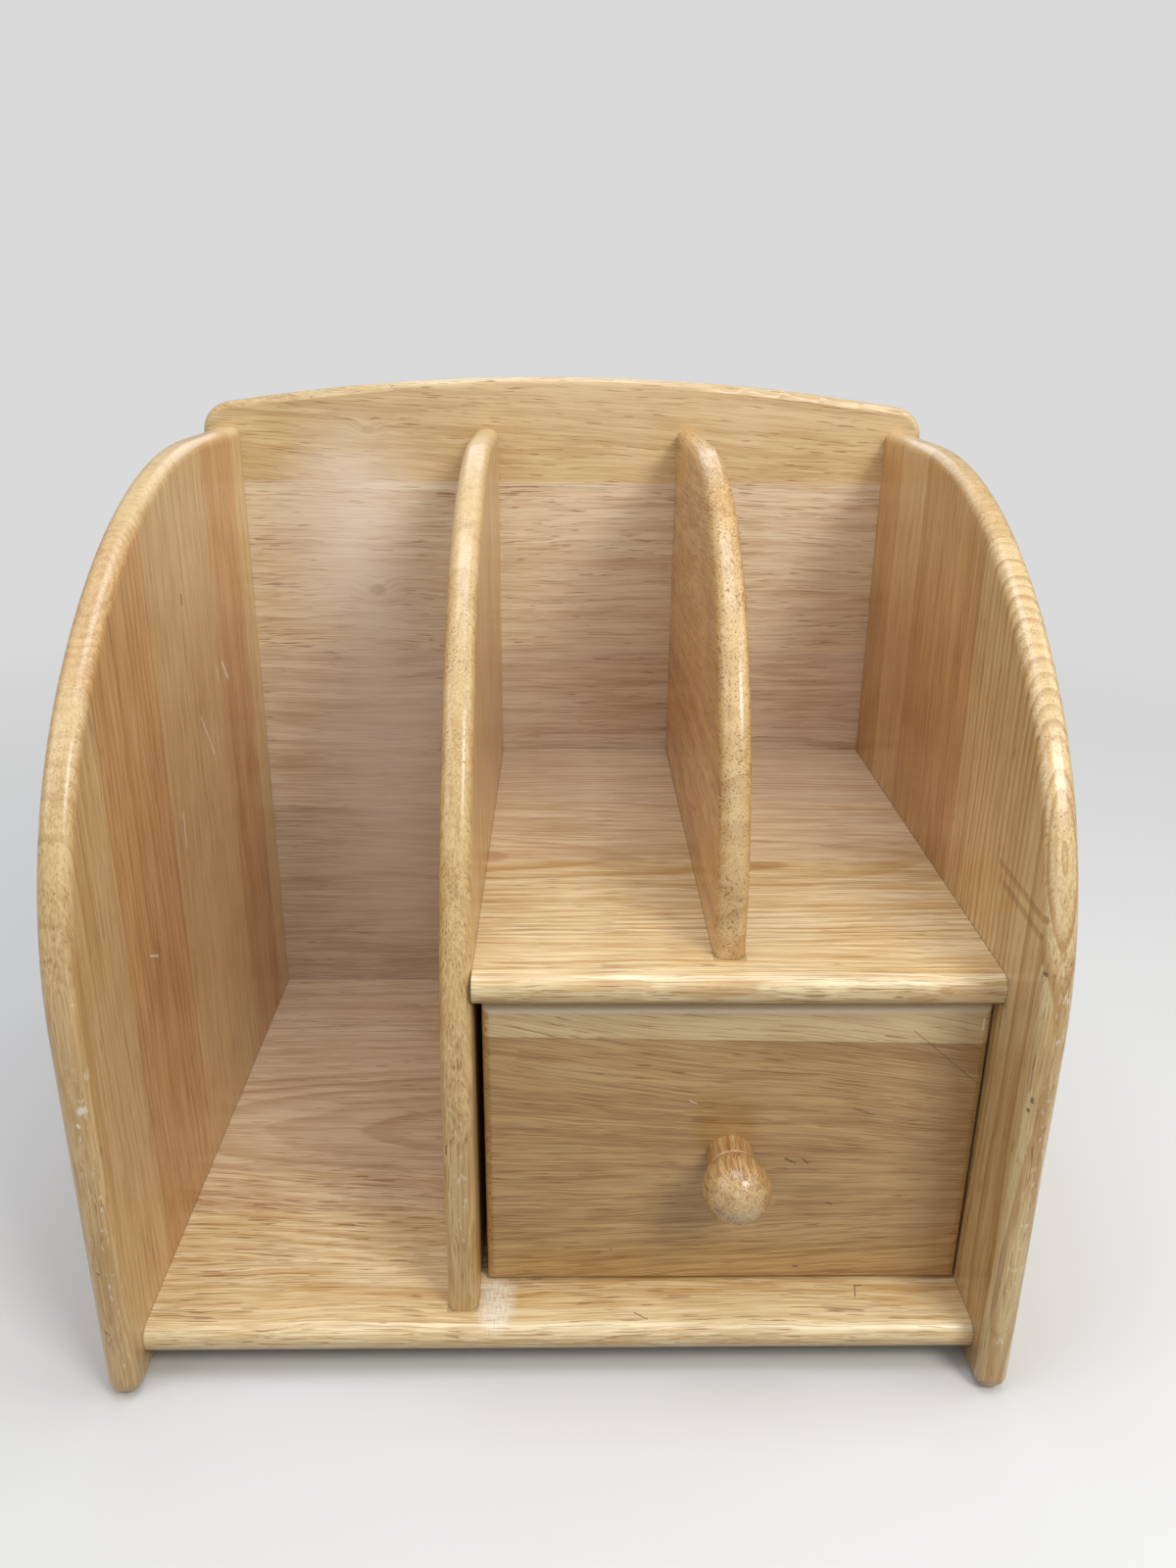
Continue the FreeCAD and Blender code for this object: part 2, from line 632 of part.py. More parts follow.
def knob_profile(body):
    """Half of the knob's outline; the axis is Y and the knob grows along -Y.

    A straight neck ends in a small roundover and a crease. The head swells from the crease
    along a flank arc to its greatest radius and closes with a quarter round.
    """
    sketch = new_sketch(body, "profile", "XY_Plane")
    neck, neck_end = size.knob_neck.value, -size.knob_neck_length.value
    lip, head = size.knob_neck_round.value, size.knob_head.value
    tip = -size.knob_length.value
    belly = tip + head
    crease_x, crease_y = neck - lip, neck_end - lip
    rise, swell = crease_y - belly, head - crease_x
    flank_radius = (rise ** 2 + swell ** 2) / (2 * swell)
    flank_turn = degrees(asin(rise / flank_radius))
    base, neck_line, lip_arc, flank, cap, axis = range(6)
    outline = [
        line((0, 0), (neck, 0)),
        line((neck, 0), (neck, neck_end)),
        arc((neck - lip, neck_end), lip, 270, 360),
        arc((head - flank_radius, belly), flank_radius, 0, flank_turn),
        arc((0, belly), head, 270, 360),
        line((0, tip), (0, 0)),
    ]
    draw(sketch, outline, [
        Rule("Coincident", base, 1, -1, 1),
        Rule("Horizontal", base),
        Rule("Coincident", base, 2, neck_line, 1),
        Rule("Vertical", neck_line),
        Rule("Tangent", neck_line, 2, lip_arc, 2),
        Rule("Vertical", lip_arc, 3, lip_arc, 1),
        Rule("Coincident", lip_arc, 1, flank, 2),
        Rule("Tangent", flank, 1, cap, 2),
        Rule("Horizontal", flank, 3, flank, 1),
        Rule("PointOnObject", cap, 3, -2),
        Rule("PointOnObject", cap, 1, -2),
        Rule("Coincident", cap, 1, axis, 1),
        Rule("Coincident", axis, 2, -1, 1),
    ])
    bind(sketch, "DistanceX", base, 1, base, 2, length=size.knob_neck)
    bind(sketch, "DistanceY", neck_line, 2, neck_line, 1, length=size.knob_neck_length)
    bind(sketch, "Radius", lip_arc, length=size.knob_neck_round)
    bind(sketch, "Radius", cap, length=size.knob_head)
    bind(sketch, "DistanceY", cap, 1, -1, 1, length=size.knob_length)
    return sketch


drawer_knob = keep(new_body("drawer_knob", knob_x, drawer_face, knob_z))
revolve(drawer_knob, knob_profile(drawer_knob), "V_Axis")
bores(drawer_knob, "screw_bore", "XZ_Plane", 0, [(0, 0)], screw_hole,
      knob_hold + size.hole_end, reverse=True)


# ---- Dowels, screws and pins -----------------------------------------------------------

def turned(name, steps):
    """A round fastener along +X, from its steps (distance along, radius), end to end."""
    body = new_body(name)
    sketch = new_sketch(body, "profile", "XY_Plane")
    steps = [(as_length(along), as_length(radius)) for along, radius in steps]
    corners = [(along.value, radius.value) for along, radius in steps]
    last = len(corners)
    outline = [line(corners[i], corners[(i + 1) % last]) for i in range(last)]
    draw(sketch, outline, [Rule("Coincident", i, 2, (i + 1) % last, 1) for i in range(last)])
    for i, (along, radius) in enumerate(steps):
        pin_down(sketch, i, 1, along, radius)
    revolve(body, sketch, "H_Axis")
    return body


def straight(name, radius, length):
    """A dowel or headless pin: one radius from end to end."""
    return turned(name, [(0, 0), (0, radius), (length, radius), (length, 0)])


def group(name, master, places, turn=None):
    """One sub-part made of identical fasteners, one at each place."""
    copies = []
    for number, place_of_copy in enumerate(places, start=1):
        copy = doc.addObject("App::Link", f"{name}_{number}")
        copy.LinkedObject = master
        if turn:
            copy.Placement = FreeCAD.Placement(Vector(), turn)
        place(copy, *place_of_copy)
        copies.append(copy)
    whole = doc.addObject("Part::Compound", name)
    whole.Label = name
    whole.Links = copies
    return keep(whole)


shelf_dowel = straight("shelf_dowel", size.dowel_radius, size.dowel_length)
thin_dowel = straight("thin_dowel", size.thin_dowel_radius, size.thin_dowel_length)
countersink = size.screw_head - size.screw_radius       # a 90 degree head
screw = turned("wood_screw", [
    (0, 0), (0, size.screw_head), (countersink, size.screw_radius),
    (size.screw_length, size.screw_radius), (size.screw_length, 0)])
pin = straight("pin", size.pin_radius, size.pin_length)

base_level = size.foot_gap + size.board / 2
shelf_level = shelf_under + size.board / 2
in_upright = size.dowel_face_depth                      # a left dowel starts inside its upright
group("base_shelf_dowels_left", shelf_dowel,
      [(left_face - in_upright, rear + y, base_level) for y in row])
group("base_shelf_dowels_right", shelf_dowel,
      [(right_face - dowel_end_depth, rear + y, base_level) for y in row])
group("drawer_shelf_dowels_left", shelf_dowel,
      [(divider_right - in_upright, rear + y, shelf_level) for y in row])
group("drawer_shelf_dowels_right", shelf_dowel,
      [(right_face - dowel_end_depth, rear + y, shelf_level) for y in row])
group("centre_divider_screws", screw,
      [(divider_left + size.board / 2, rear + y, size.foot_gap + size.screw_sink) for y in row],
      UPWARDS)
group("letter_divider_screws", screw,
      [(letter_left + size.board / 2, rear + y, shelf_under + size.screw_sink) for y in row],
      UPWARDS)
group("back_panel_screws", screw,
      [(x, rear + size.back_board - size.screw_sink, z) for x, z in rear_screws], FORWARDS)

for name, x in (("left", drawer_left + size.wall / 2),
                ("right", drawer_left + drawer_width - size.wall / 2)):
    group(f"drawer_front_dowels_{name}", thin_dowel,
          [(x, wall_start - size.thin_dowel_face_depth, wall_bottom + z) for z in corner_heights],
          BACKWARDS)
pin_line = wall_start + wall_length - size.wall / 2
group("drawer_back_pins_left", pin,
      [(drawer_left + size.screw_sink, pin_line, wall_bottom + z) for z in corner_heights])
group("drawer_back_pins_right", pin,
      [(drawer_left + drawer_width - size.screw_sink, pin_line, wall_bottom + z)
       for z in corner_heights], LEFTWARDS)

knob_screw = keep(turned("knob_screw", [
    (0, 0), (0, size.pan_head - size.pan_height / 2), (size.pan_height / 2, size.pan_head),
    (size.pan_height, size.pan_head), (size.pan_height, size.screw_radius),
    (size.pan_height + size.knob_shank, size.screw_radius),
    (size.pan_height + size.knob_shank, 0)]))
knob_screw.Placement.Rotation = FORWARDS
place(knob_screw, knob_x, wall_start + size.pan_height, knob_z)


# ---- Checks and files ------------------------------------------------------------------

doc.recompute()
failed = [item.Name for item in doc.Objects if {"Invalid", "Error"} & set(item.State)]
if failed:
    raise RuntimeError("failed: " + ", ".join(failed))
for node in nodes:
    if node.Shape.isNull() or not node.Shape.isValid() or not node.Shape.Solids:
        raise RuntimeError(f"{node.Label} has no valid solid")

os.makedirs("parts", exist_ok=True)
for node in nodes:
    node.Shape.exportStep(f"parts/{node.Label}.step")
print(len(nodes), "sub-parts,", sum(len(node.Shape.Solids) for node in nodes), "solids")
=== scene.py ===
# %% [markdown]
# # Dressing an envelope sorter with a drawer
# The sorter is solid rubberwood, apart from the plywood bottom of its drawer: two D-shaped
# sides, an arched back panel, two shelves, two dividers and a small drawer with a turned
# knob. The joinery frame arrives finished, board by board, so nothing here cuts or moves
# a board. What is left is the work of a finisher: the grain of each board, the lacquer
# and its wear, and the steel screws, which are modelled with their threads and driver
# recesses.

from collections import namedtuple
from math import cos, radians, sin

import bpy
from mathutils import Matrix, Vector


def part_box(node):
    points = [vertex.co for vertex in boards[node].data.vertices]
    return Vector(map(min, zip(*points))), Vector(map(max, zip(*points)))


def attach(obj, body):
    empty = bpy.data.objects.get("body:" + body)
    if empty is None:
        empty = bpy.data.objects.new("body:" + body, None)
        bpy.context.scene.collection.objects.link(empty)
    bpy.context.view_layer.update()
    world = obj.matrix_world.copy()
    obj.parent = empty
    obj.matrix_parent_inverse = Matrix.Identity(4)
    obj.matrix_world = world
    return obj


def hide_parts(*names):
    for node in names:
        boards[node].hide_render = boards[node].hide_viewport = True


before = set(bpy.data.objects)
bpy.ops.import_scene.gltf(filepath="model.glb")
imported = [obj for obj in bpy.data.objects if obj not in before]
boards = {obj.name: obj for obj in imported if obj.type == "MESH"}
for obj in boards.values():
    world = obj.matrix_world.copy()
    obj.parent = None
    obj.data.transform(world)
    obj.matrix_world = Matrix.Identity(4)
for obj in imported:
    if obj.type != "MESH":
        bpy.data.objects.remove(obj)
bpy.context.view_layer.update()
MM = 0.001

# %% [markdown]
# ## Camera
# The sorter is seen from close by, a little above its top and looking down, so the
# uprights lean outwards. A short lens placed near the object gives the same lean. The
# camera is turned with three plain angles, heading, dip and roll, because a matrix built
# from them can be read and changed, while a tracking constraint would hide them.

# %% The camera
IMAGE_HEIGHT = 1600             # pixels
FOCAL_PIXELS = 1236.6           # focal length in the same pixels
SENSOR_HEIGHT = 24.0            # millimetres
CAMERA_PLACE = Vector((0.6, -498.8, 392.0)) * MM
HEADING = radians(1.21)         # to the right of straight ahead
DIP = radians(21.13)
ROLL = radians(0.61)

lens = bpy.data.cameras.new("view")
lens.sensor_fit = "VERTICAL"
lens.sensor_height = SENSOR_HEIGHT
lens.lens = FOCAL_PIXELS / IMAGE_HEIGHT * SENSOR_HEIGHT
lens.clip_start = 0.01
camera = bpy.data.objects.new("view", lens)
bpy.context.scene.collection.objects.link(camera)
aim = Matrix.Rotation(-HEADING, 4, "Z") @ Matrix.Rotation(radians(90) - DIP, 4, "X")
camera.matrix_world = Matrix.Translation(CAMERA_PLACE) @ aim @ Matrix.Rotation(ROLL, 4, "Z")
bpy.context.scene.camera = camera
bpy.context.scene.view_settings.view_transform = "Standard"
print("lens", round(lens.lens, 2), "mm at", tuple(round(c, 3) for c in CAMERA_PLACE))

# %% [markdown]
# ## Formulas on wires
# A wood finish is a long formula of position. Written as node calls it can't be read, so
# one small class wraps an output socket and gives it arithmetic. A sum of two wires adds
# one Math node; colours and vectors have nodes of their own, which `node` makes too. The
# same class serves the geometry tree of the screws, because it has the same Math nodes.

# %% A wire that knows arithmetic
class Wire:
    """A node's output. Arithmetic on it adds Math nodes; node() adds any other node."""

    def __init__(self, tree, socket=None):
        self.tree = tree
        self.socket = socket

    def node(self, kind, settings=None, inputs=None, output=0):
        """Add a node: settings first, a ramp's stops among them, then its inputs."""
        made = self.tree.nodes.new(kind)
        for name, value in (settings or {}).items():
            if name == "stops":
                set_stops(made.color_ramp, value)
            else:
                setattr(made, name, value)
        for name, value in (inputs or {}).items():
            wires = value if isinstance(value, list) else [value]
            if isinstance(wires[0], Wire):
                for wire in wires:
                    self.tree.links.new(wire.socket, made.inputs[name])
            else:
                made.inputs[name].default_value = value
        return Wire(self.tree, made.outputs[output])

    def also(self, output):
        """Another output of the same node."""
        return Wire(self.tree, self.socket.node.outputs[output])

    def math(self, operation, *values):
        """A Math node on these values."""
        return self.node("ShaderNodeMath", {"operation": operation}, dict(enumerate(values)))

    def __add__(self, other):
        return self.math("ADD", self, other)

    def __sub__(self, other):
        return self.math("SUBTRACT", self, other)

    def __rsub__(self, other):
        return self.math("SUBTRACT", other, self)

    def __mul__(self, other):
        return self.math("MULTIPLY", self, other)

    def __truediv__(self, other):
        return self.math("DIVIDE", self, other)

    def __gt__(self, other):
        return self.math("GREATER_THAN", self, other)

    def __lt__(self, other):
        return self.math("LESS_THAN", self, other)

    def __abs__(self):
        return self.math("ABSOLUTE", self)

    __radd__ = __add__
    __rmul__ = __mul__

    def ramp(self, low, high, first=0.0, last=1.0):
        """A soft step: first below low, last above high."""
        names = ("Value", "From Min", "From Max", "To Min", "To Max")
        return self.node("ShaderNodeMapRange", {"interpolation_type": "SMOOTHSTEP"},
                         dict(zip(names, (self, low, high, first, last))), "Result")

    def mix(self, factor, other):
        """This colour changed towards another one."""
        return self.node("ShaderNodeMix", {"data_type": "RGBA"}, {0: factor, 6: self, 7: other}, 2)

    def split(self):
        """The X, Y and Z of a vector."""
        parts = self.node("ShaderNodeSeparateXYZ", None, {0: self})
        return {"x": parts.also("X"), "y": parts.also("Y"), "z": parts.also("Z")}

    def join(self, x, y, z):
        """A vector of three values."""
        return self.node("ShaderNodeCombineXYZ", None, {0: x, 1: y, 2: z})

    def noise(self, vector, detail=2.0):
        """Smooth noise of mean one half, one bump per unit."""
        return self.node("ShaderNodeTexNoise", None, {"Vector": vector, "Scale": 1.0, "Detail": detail})


def set_stops(ramp, stops):
    """Hard steps: each colour holds from its place to the next one's."""
    ramp.interpolation = "CONSTANT"
    while len(ramp.elements) > 1:
        ramp.elements.remove(ramp.elements[-1])
    for number, (place, value) in enumerate(stops):
        element = ramp.elements.new(place) if number else ramp.elements[0]
        element.position = place
        element.color = value


def colour(hexadecimal):
    """A scene-linear colour from the usual six digits, by the sRGB curve."""
    parts = [int(hexadecimal[i:i + 2], 16) / 255 for i in (0, 2, 4)]
    return [p / 12.92 if p <= 0.04045 else ((p + 0.055) / 1.055) ** 2.4 for p in parts] + [1.0]


print("mid grey reads back as", [round(c, 3) for c in colour("808080")[:3]])

# %% [markdown]
# ## Rubberwood in the solid
# Each board is glued up from strips that were sawn from different trees, so colour,
# figure and pores change at every glue line. Inside a strip the growth bands and the
# brown vessels are solid shapes: on a face they show as streaks and dashes, and where a
# rounded edge cuts across the grain they show as rings and dots. So the pattern is made
# in three dimensions from the board's own directions, along, across and through the
# grain, and every roundover gets its end grain for nothing. A flat picture of grain
# would have needed a separate one for each edge.

# %% Strips of a board
WIDEST = 0.4                    # metres, wider than any glued-up board
STRIP_SHIFT = 5.9               # moves the noise on, so that no two strips look alike
GLUE_LINE = (0.00008, 0.00025)  # metres: full strength inside, gone outside
Sway = namedtuple("Sway", "length width reach")
WANDER = Sway(0.13, 0.04, 0.010)        # metres: the long bends of the grain
RIPPLE = Sway(0.021, 0.008, 0.0014)     # and its short ones
Tone = namedtuple("Tone", "pale deep")
Fan = namedtuple("Fan", "across along squeeze")
# Lines that draw together round a place in millimetres, by so much in each metre along.
Strip = namedtuple("Strip", "start tone rings dashes lines lean")
# A strip starts at so many millimetres. Rings, dashes and lines are strengths, and lean
# is the slope of its grain.
Grain = namedtuple("Grain", "level along across through shift rings dashes lines seam")


def per_strip(across, strips, values):
    """The value of the strip that a point lies in, as a stepped ramp across the board."""
    first = strips[0].start * MM
    stops = [((strip.start * MM - first) / WIDEST, value) for strip, value in zip(strips, values)]
    return across.node("ShaderNodeValToRGB", {"stops": stops}, {0: (across - first) / WIDEST})


def directions(place, grain_axis, across_axis):
    """Distances along, across and through the grain, from a point's place."""
    axes = place.split()
    along = axes.pop(grain_axis)
    across = axes.pop(across_axis)
    return along, across, axes.popitem()[1]


def sway(along, across, shift, bend):
    """How far the grain bends aside at a point."""
    point = along.join(along / bend.length, across / bend.width, shift)
    return (along.noise(point, 1.0) - 0.5) * bend.reach


def glued_strips(place, grain_axis, across_axis, strips, seam_lean, fan):
    """The grain at a point: bent directions, and the character of the strip it lies in."""
    along, across, through = directions(place, grain_axis, across_axis)
    level = across + along * seam_lean
    # A ramp holds no value below 0, so a lean is stored half a unit up.
    figure = per_strip(level, strips, [(s.rings, s.dashes, s.lines, 0.5 + s.lean) for s in strips])
    lean = figure.also("Alpha") - 0.5
    parts = figure.node("ShaderNodeSeparateColor", None, {0: figure})
    rings, dashes, lines = parts.also(0), parts.also(1), parts.also(2)
    number = per_strip(level, strips, [(i, i, i, 1.0) for i in range(len(strips))])
    shift = number * STRIP_SHIFT
    bent = level + sway(along, across, shift, WANDER) + sway(along, across, shift, RIPPLE)
    bent = bent + along * lean
    if fan:
        bent = (bent - fan.across * MM) * ((along - fan.along * MM) * fan.squeeze + 1.0)
    seam = None
    for strip in strips[1:]:
        line = abs(level - strip.start * MM).ramp(*GLUE_LINE, 1.0, 0.0)
        seam = line if seam is None else seam + line
    return Grain(level, along, bent, through, shift, rings, dashes, lines, seam)


def stretched(grain, length, width, detail=0.0):
    """Noise whose blobs lie along the grain. Length and width are in metres."""
    shift = grain.shift
    point = shift.join(grain.along / length + shift, grain.across / width, grain.through / width)
    return shift.noise(point, detail)


print("a strip's place on the board decides its tone, rings, pores and lean")

# %% [markdown]
# Growth rings are rounds about the heart of the tree. Where the heart lies within the
# board's thickness, the front edge shows whole arches, and elsewhere the rings cross it
# as slanting lines. A ring darkens slowly and ends at a sharp line, so the fraction of
# distance over pitch is the right formula for it, and a plain sine would look machined.
# Each ring's strength is a random number of its own.

# %% Growth rings
Heart = namedtuple("Heart", "across through lean oval", defaults=(0.0, 1.0))
# A heart's place is in millimetres, lean is its slope, and oval flattens the rings.
WAVER = (0.09, 0.02)            # metres: length and width of a ring's waves
WAVER_REACH = 0.9               # rings
LATE_WOOD = 0.30                # where a ring starts to darken
RING_END = 0.90                 # where it is darkest
FAINTEST = 0.15                 # strength of the faintest ring


def growth_rings(grain, heart, pitch):
    """0 through most of a ring, rising to 1 at the dark line that ends it."""
    aside = grain.across - heart.across * MM
    deep = (grain.through - heart.through * MM + grain.along * heart.lean) * heart.oval
    distance = aside.math("SQRT", aside * aside + deep * deep)
    count = distance / (pitch * MM) + stretched(grain, *WAVER) * WAVER_REACH
    whole = count.math("FLOOR", count)
    part = count - whole
    chance = count.node("ShaderNodeTexWhiteNoise", {"noise_dimensions": "1D"},
                        {"W": whole + grain.shift}, "Value")
    strength = chance * (1.0 - FAINTEST) + FAINTEST
    return part.ramp(LATE_WOOD, RING_END) * part.ramp(RING_END, 1.0, 1.0, 0.0) * strength


print("rings are rounds about the heart, and waver by", WAVER_REACH / 2, "of a ring")

# %% [markdown]
# A knot pushes the grain aside. Adding a soft hill to the distance across the grain
# makes the streaks swing round it, as the fibres do.

# %% Knots
Knot = namedtuple("Knot", "along across radius depth")
KNOT_SQUEEZE = 0.6              # a knot is longer along the grain
KNOT_REACH = 3.0                # radii to where the grain runs straight again
KNOT_PUSH = 1.6                 # radii that the grain moves aside
KNOT_CORE = (0.72, 0.93)        # heights on the hill where the dark core starts and is full


def knot_hill(grain, knot):
    """1 in the middle of a knot, 0 where the grain runs straight."""
    far_along = (grain.along - knot.along * MM) * KNOT_SQUEEZE
    far_across = grain.across - knot.across * MM
    reach = knot.radius * MM
    distance = far_along.math("SQRT", far_along * far_along + far_across * far_across)
    return distance.ramp(0.0, reach * KNOT_REACH, 1.0, 0.0)


def bend_round(grain, knots):
    """The grain pushed aside by its knots, and how dark the knots are."""
    dark = None
    for knot in knots:
        hill = knot_hill(grain, knot)
        core = hill.ramp(*KNOT_CORE) * knot.depth
        grain = grain._replace(across=grain.across + hill * (knot.radius * MM * KNOT_PUSH))
        dark = core if dark is None else dark + core
    return grain, dark


print("a knot bends the streaks round itself")

# %% [markdown]
# Marks of use are capsules: all points within a width of a short line on one face. Pale
# ones are scratches in the lacquer, dark ones are nicks and specks, a dent is a soft
# groove, and a rubbed patch is a wide pale one broken up along and across. Chips are pale
# flakes scattered along an edge. Two kinds are painted light, drawn as capsules too: a
# painted highlight is a pale band along an edge, and a painted sheen is a milky pale veil
# that stands for the lacquer's reflection. Each face keeps its own short list, in millimetres.

# %% Marks of use, with painted highlight and painted sheen
Mark = namedtuple("Mark", "kind start end width")
Face = namedtuple("Face", "axis level marks")       # level None: whatever faces the front
TREMBLE = 0.0016                # metres: size of the wobble in a mark's line
TREMBLE_REACH = 0.5             # millimetres
FULL = 0.3                      # share of a mark's width that has its full strength


def flat_noise(first, second, width, height, detail=2.0, level=0.0):
    """Noise on a face, its blobs so many metres wide and high."""
    return first.noise(first.join(first / width, second / height, level), detail)


def capsule(across, up, mark, wobble):
    """1 on the mark's line, 0 outside its width."""
    (x0, y0), (x1, y1) = mark.start, mark.end
    run, rise = x1 - x0, y1 - y0
    dx = across / MM + wobble - x0
    dy = up / MM + wobble - y0
    share = (dx * run + dy * rise) / max(run * run + rise * rise, 0.01)     # a speck has no run
    share = share.math("MINIMUM", share.math("MAXIMUM", share, 0.0), 1.0)
    off_x = dx - share * run
    off_y = dy - share * rise
    gap = dx.math("SQRT", off_x * off_x + off_y * off_y)
    # A painted sheen fades out from its line; every other mark keeps full strength near it.
    full = 0.0 if mark.kind == "painted_sheen" else mark.width * FULL
    return gap.ramp(full, mark.width, 1.0, 0.0)


def marks_of(first, second, facing, marks, kind):
    """All marks of one kind on the face where facing is 1."""
    found = [mark for mark in marks if mark.kind == kind]
    if not found:
        return None
    wobble = flat_noise(first, second, TREMBLE, TREMBLE, 1.0)
    wobble = (wobble - 0.5) * TREMBLE_REACH
    total = None
    for mark in found:
        one = capsule(first, second, mark, wobble)
        total = one if total is None else total.math("MAXIMUM", total, one)
    return total * facing


print("marks are given in millimetres on their face")

# %% [markdown]
# Each strip has a pale and a deep tone, and streaks, rings and blotches move the colour
# between them. Vessels are the high points of a noise that is stretched along the grain:
# dashes on a face, dots on the end grain. The clear lacquer is the shader's coat. Its
# weight falls where edges and patches are rubbed, and the pores dimple it a little.

# %% Sizes and colours of the grain
Figure = namedtuple("Figure", "length width share")     # metres, and its share in the sum
BELT = Figure(0.20, 0.012, 0.75)
BAND = Figure(0.11, 0.0034, 0.6)
FIBRE = Figure(0.030, 0.0008, 0.42)
CROWD = Figure(0.06, 0.010, 0.22)       # where vessels crowd together
DASH = Figure(0.012, 0.0006, 0.12)
LINE = Figure(0.034, 0.0005, 0.14)
DASH_LEVEL = 0.90               # noise above these levels is a vessel
LINE_LEVEL = 0.81
PORE = colour("8F5A2C")
# dark of glue lines and nicks, and of the painted shade in the gaps between boards
SEAM_AND_GAP_SHADE = colour("5A3A22")
KNOT = colour("8A5630")
RING = colour("A46E38")
# the pale of rubbed edges, and of the drawer front's painted highlight
RUBBED_AND_HIGHLIGHT = colour("F1E2C4")
CHIPPED = colour("FAF1E0")
# the pale of a painted sheen: the lacquer's reflection, painted into the colour
PAINTED_SHEEN = colour("FDF3E8")
END_GRAIN = colour("E8CC98")
print("the broadest figure is", BELT.width / MM, "mm wide, the finest", LINE.width / MM, "mm")

# %% Lacquered rubberwood
def new_finish(name):
    """A material with an empty tree: its first wire and its surface shader."""
    material = bpy.data.materials.new(name)
    material.use_nodes = True
    tree = material.node_tree
    tree.nodes.clear()
    shader = tree.nodes.new("ShaderNodeBsdfPrincipled")
    output = tree.nodes.new("ShaderNodeOutputMaterial")
    tree.links.new(shader.outputs["BSDF"], output.inputs["Surface"])
    return material, Wire(tree), shader


def finish_with(start, shader, tint, rough, height, strength, depth=0.0002):
    """Give the shader its colour, roughness and dimples. Depth is in metres."""
    bump = start.node("ShaderNodeBump", None, {"Strength": strength, "Distance": depth, "Height": height})
    for name, wire in (("Base Color", tint), ("Roughness", rough), ("Normal", bump)):
        start.tree.links.new(wire.socket, shader.inputs[name])


def cloud(place, size, detail=2.0):
    """Noise of one size in all directions."""
    scaled = place.node("ShaderNodeVectorMath", {"operation": "SCALE"}, {0: place, "Scale": 1 / size})
    return place.noise(scaled, detail)


def streaks(grain, run):
    """Belts, bands and fibres along the grain: a sum of mean zero, and the fibres alone."""
    belts = stretched(grain, BELT.length * run, BELT.width, 1.0)
    bands = stretched(grain, BAND.length * run, BAND.width, 1.0)
    fibres = stretched(grain, FIBRE.length, FIBRE.width, 1.0).ramp(0.38, 0.62)
    total = (belts - 0.5) * BELT.share + (bands - 0.5) * BAND.share + (fibres - 0.5) * FIBRE.share
    return total, fibres


def vessels(grain, pore):
    """The open vessels, where the noise is high: short dark dashes, and longer faint lines."""
    crowd = stretched(grain, CROWD.length, CROWD.width, 1.0) * CROWD.share
    dashes = stretched(grain, DASH.length, DASH.width * pore) + crowd + grain.dashes * DASH.share
    lines = stretched(grain, LINE.length, LINE.width, 1.0) + crowd + grain.lines * LINE.share
    return (dashes - DASH_LEVEL).ramp(0.0, 0.07), (lines - LINE_LEVEL).ramp(0.0, 0.06)


def outside_box(place, node):
    """How far a point lies outside a neighbour's box, in metres: a painted shade line is drawn at 0, where
    the boards meet.
    """
    low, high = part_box(node)
    away = place.node("ShaderNodeVectorMath", {"operation": "SUBTRACT"}, {0: place, 1: (low + high) / 2})
    away = place.node("ShaderNodeVectorMath", {"operation": "ABSOLUTE"}, {0: away})
    away = place.node("ShaderNodeVectorMath", {"operation": "SUBTRACT"}, {0: away, 1: (high - low) / 2})
    apart = away.split()
    flat = place.math("MAXIMUM", apart["x"], apart["y"])
    return place.math("MAXIMUM", flat, apart["z"])


print("streaks, vessels and joint lines are ready to use")

# %% [markdown]
# Wear changes three things at once: the colour, the height that the bump reads, and the
# lacquer. So every kind of cut has a tint, its share in the colour and a depth, and a
# rubbed patch takes the gloss off as well. A painted sheen and a painted highlight only lighten the
# colour.

# %% Wear, painted sheen and painted highlight on a face
Cut = namedtuple("Cut", "share tint depth")
CUTS = {"dent": Cut(0.45, PORE, 5.0), "scratch": Cut(0.8, CHIPPED, 0.8), "nick": Cut(0.8, SEAM_AND_GAP_SHADE, 1.5)}
SHEEN_WAVES = (0.07, 0.013)            # metres: width and height of the waves in a painted sheen
# share of the painted sheen, a pale reflection painted into the colour
PAINTED_SHEEN_SHARE = 0.62
THREAD = (0.0007, 0.006)        # metres: width and length of the fibres in a rubbed patch
FLAKE = (0.0018, 0.005)         # metres: width and height of a chip
FLAKE_LEVEL = 0.60              # noise above this level is a chip
FLAKE_CUT = Cut(0.45, CHIPPED, 1.5)
# share of a painted highlight along an edge
PAINTED_HIGHLIGHT_SHARE = 0.8
FACE_REACH = 0.004              # metres: a face's marks end this far from its level
FACES_FRONT = -0.25             # the normal's y where a rounded edge counts as front
SCUFF, PATCH = 0.003, 0.03      # metres: one scuff, and a patch of them


def marked_face(place, facing, face):
    """The two directions on a face, and 1 where the point is on it."""
    places = place.split()
    level = places.pop(face.axis)
    if face.level is None:
        on_face = facing[face.axis] < FACES_FRONT
    else:
        on_face = abs(level - face.level * MM) < FACE_REACH
    return *places.values(), on_face


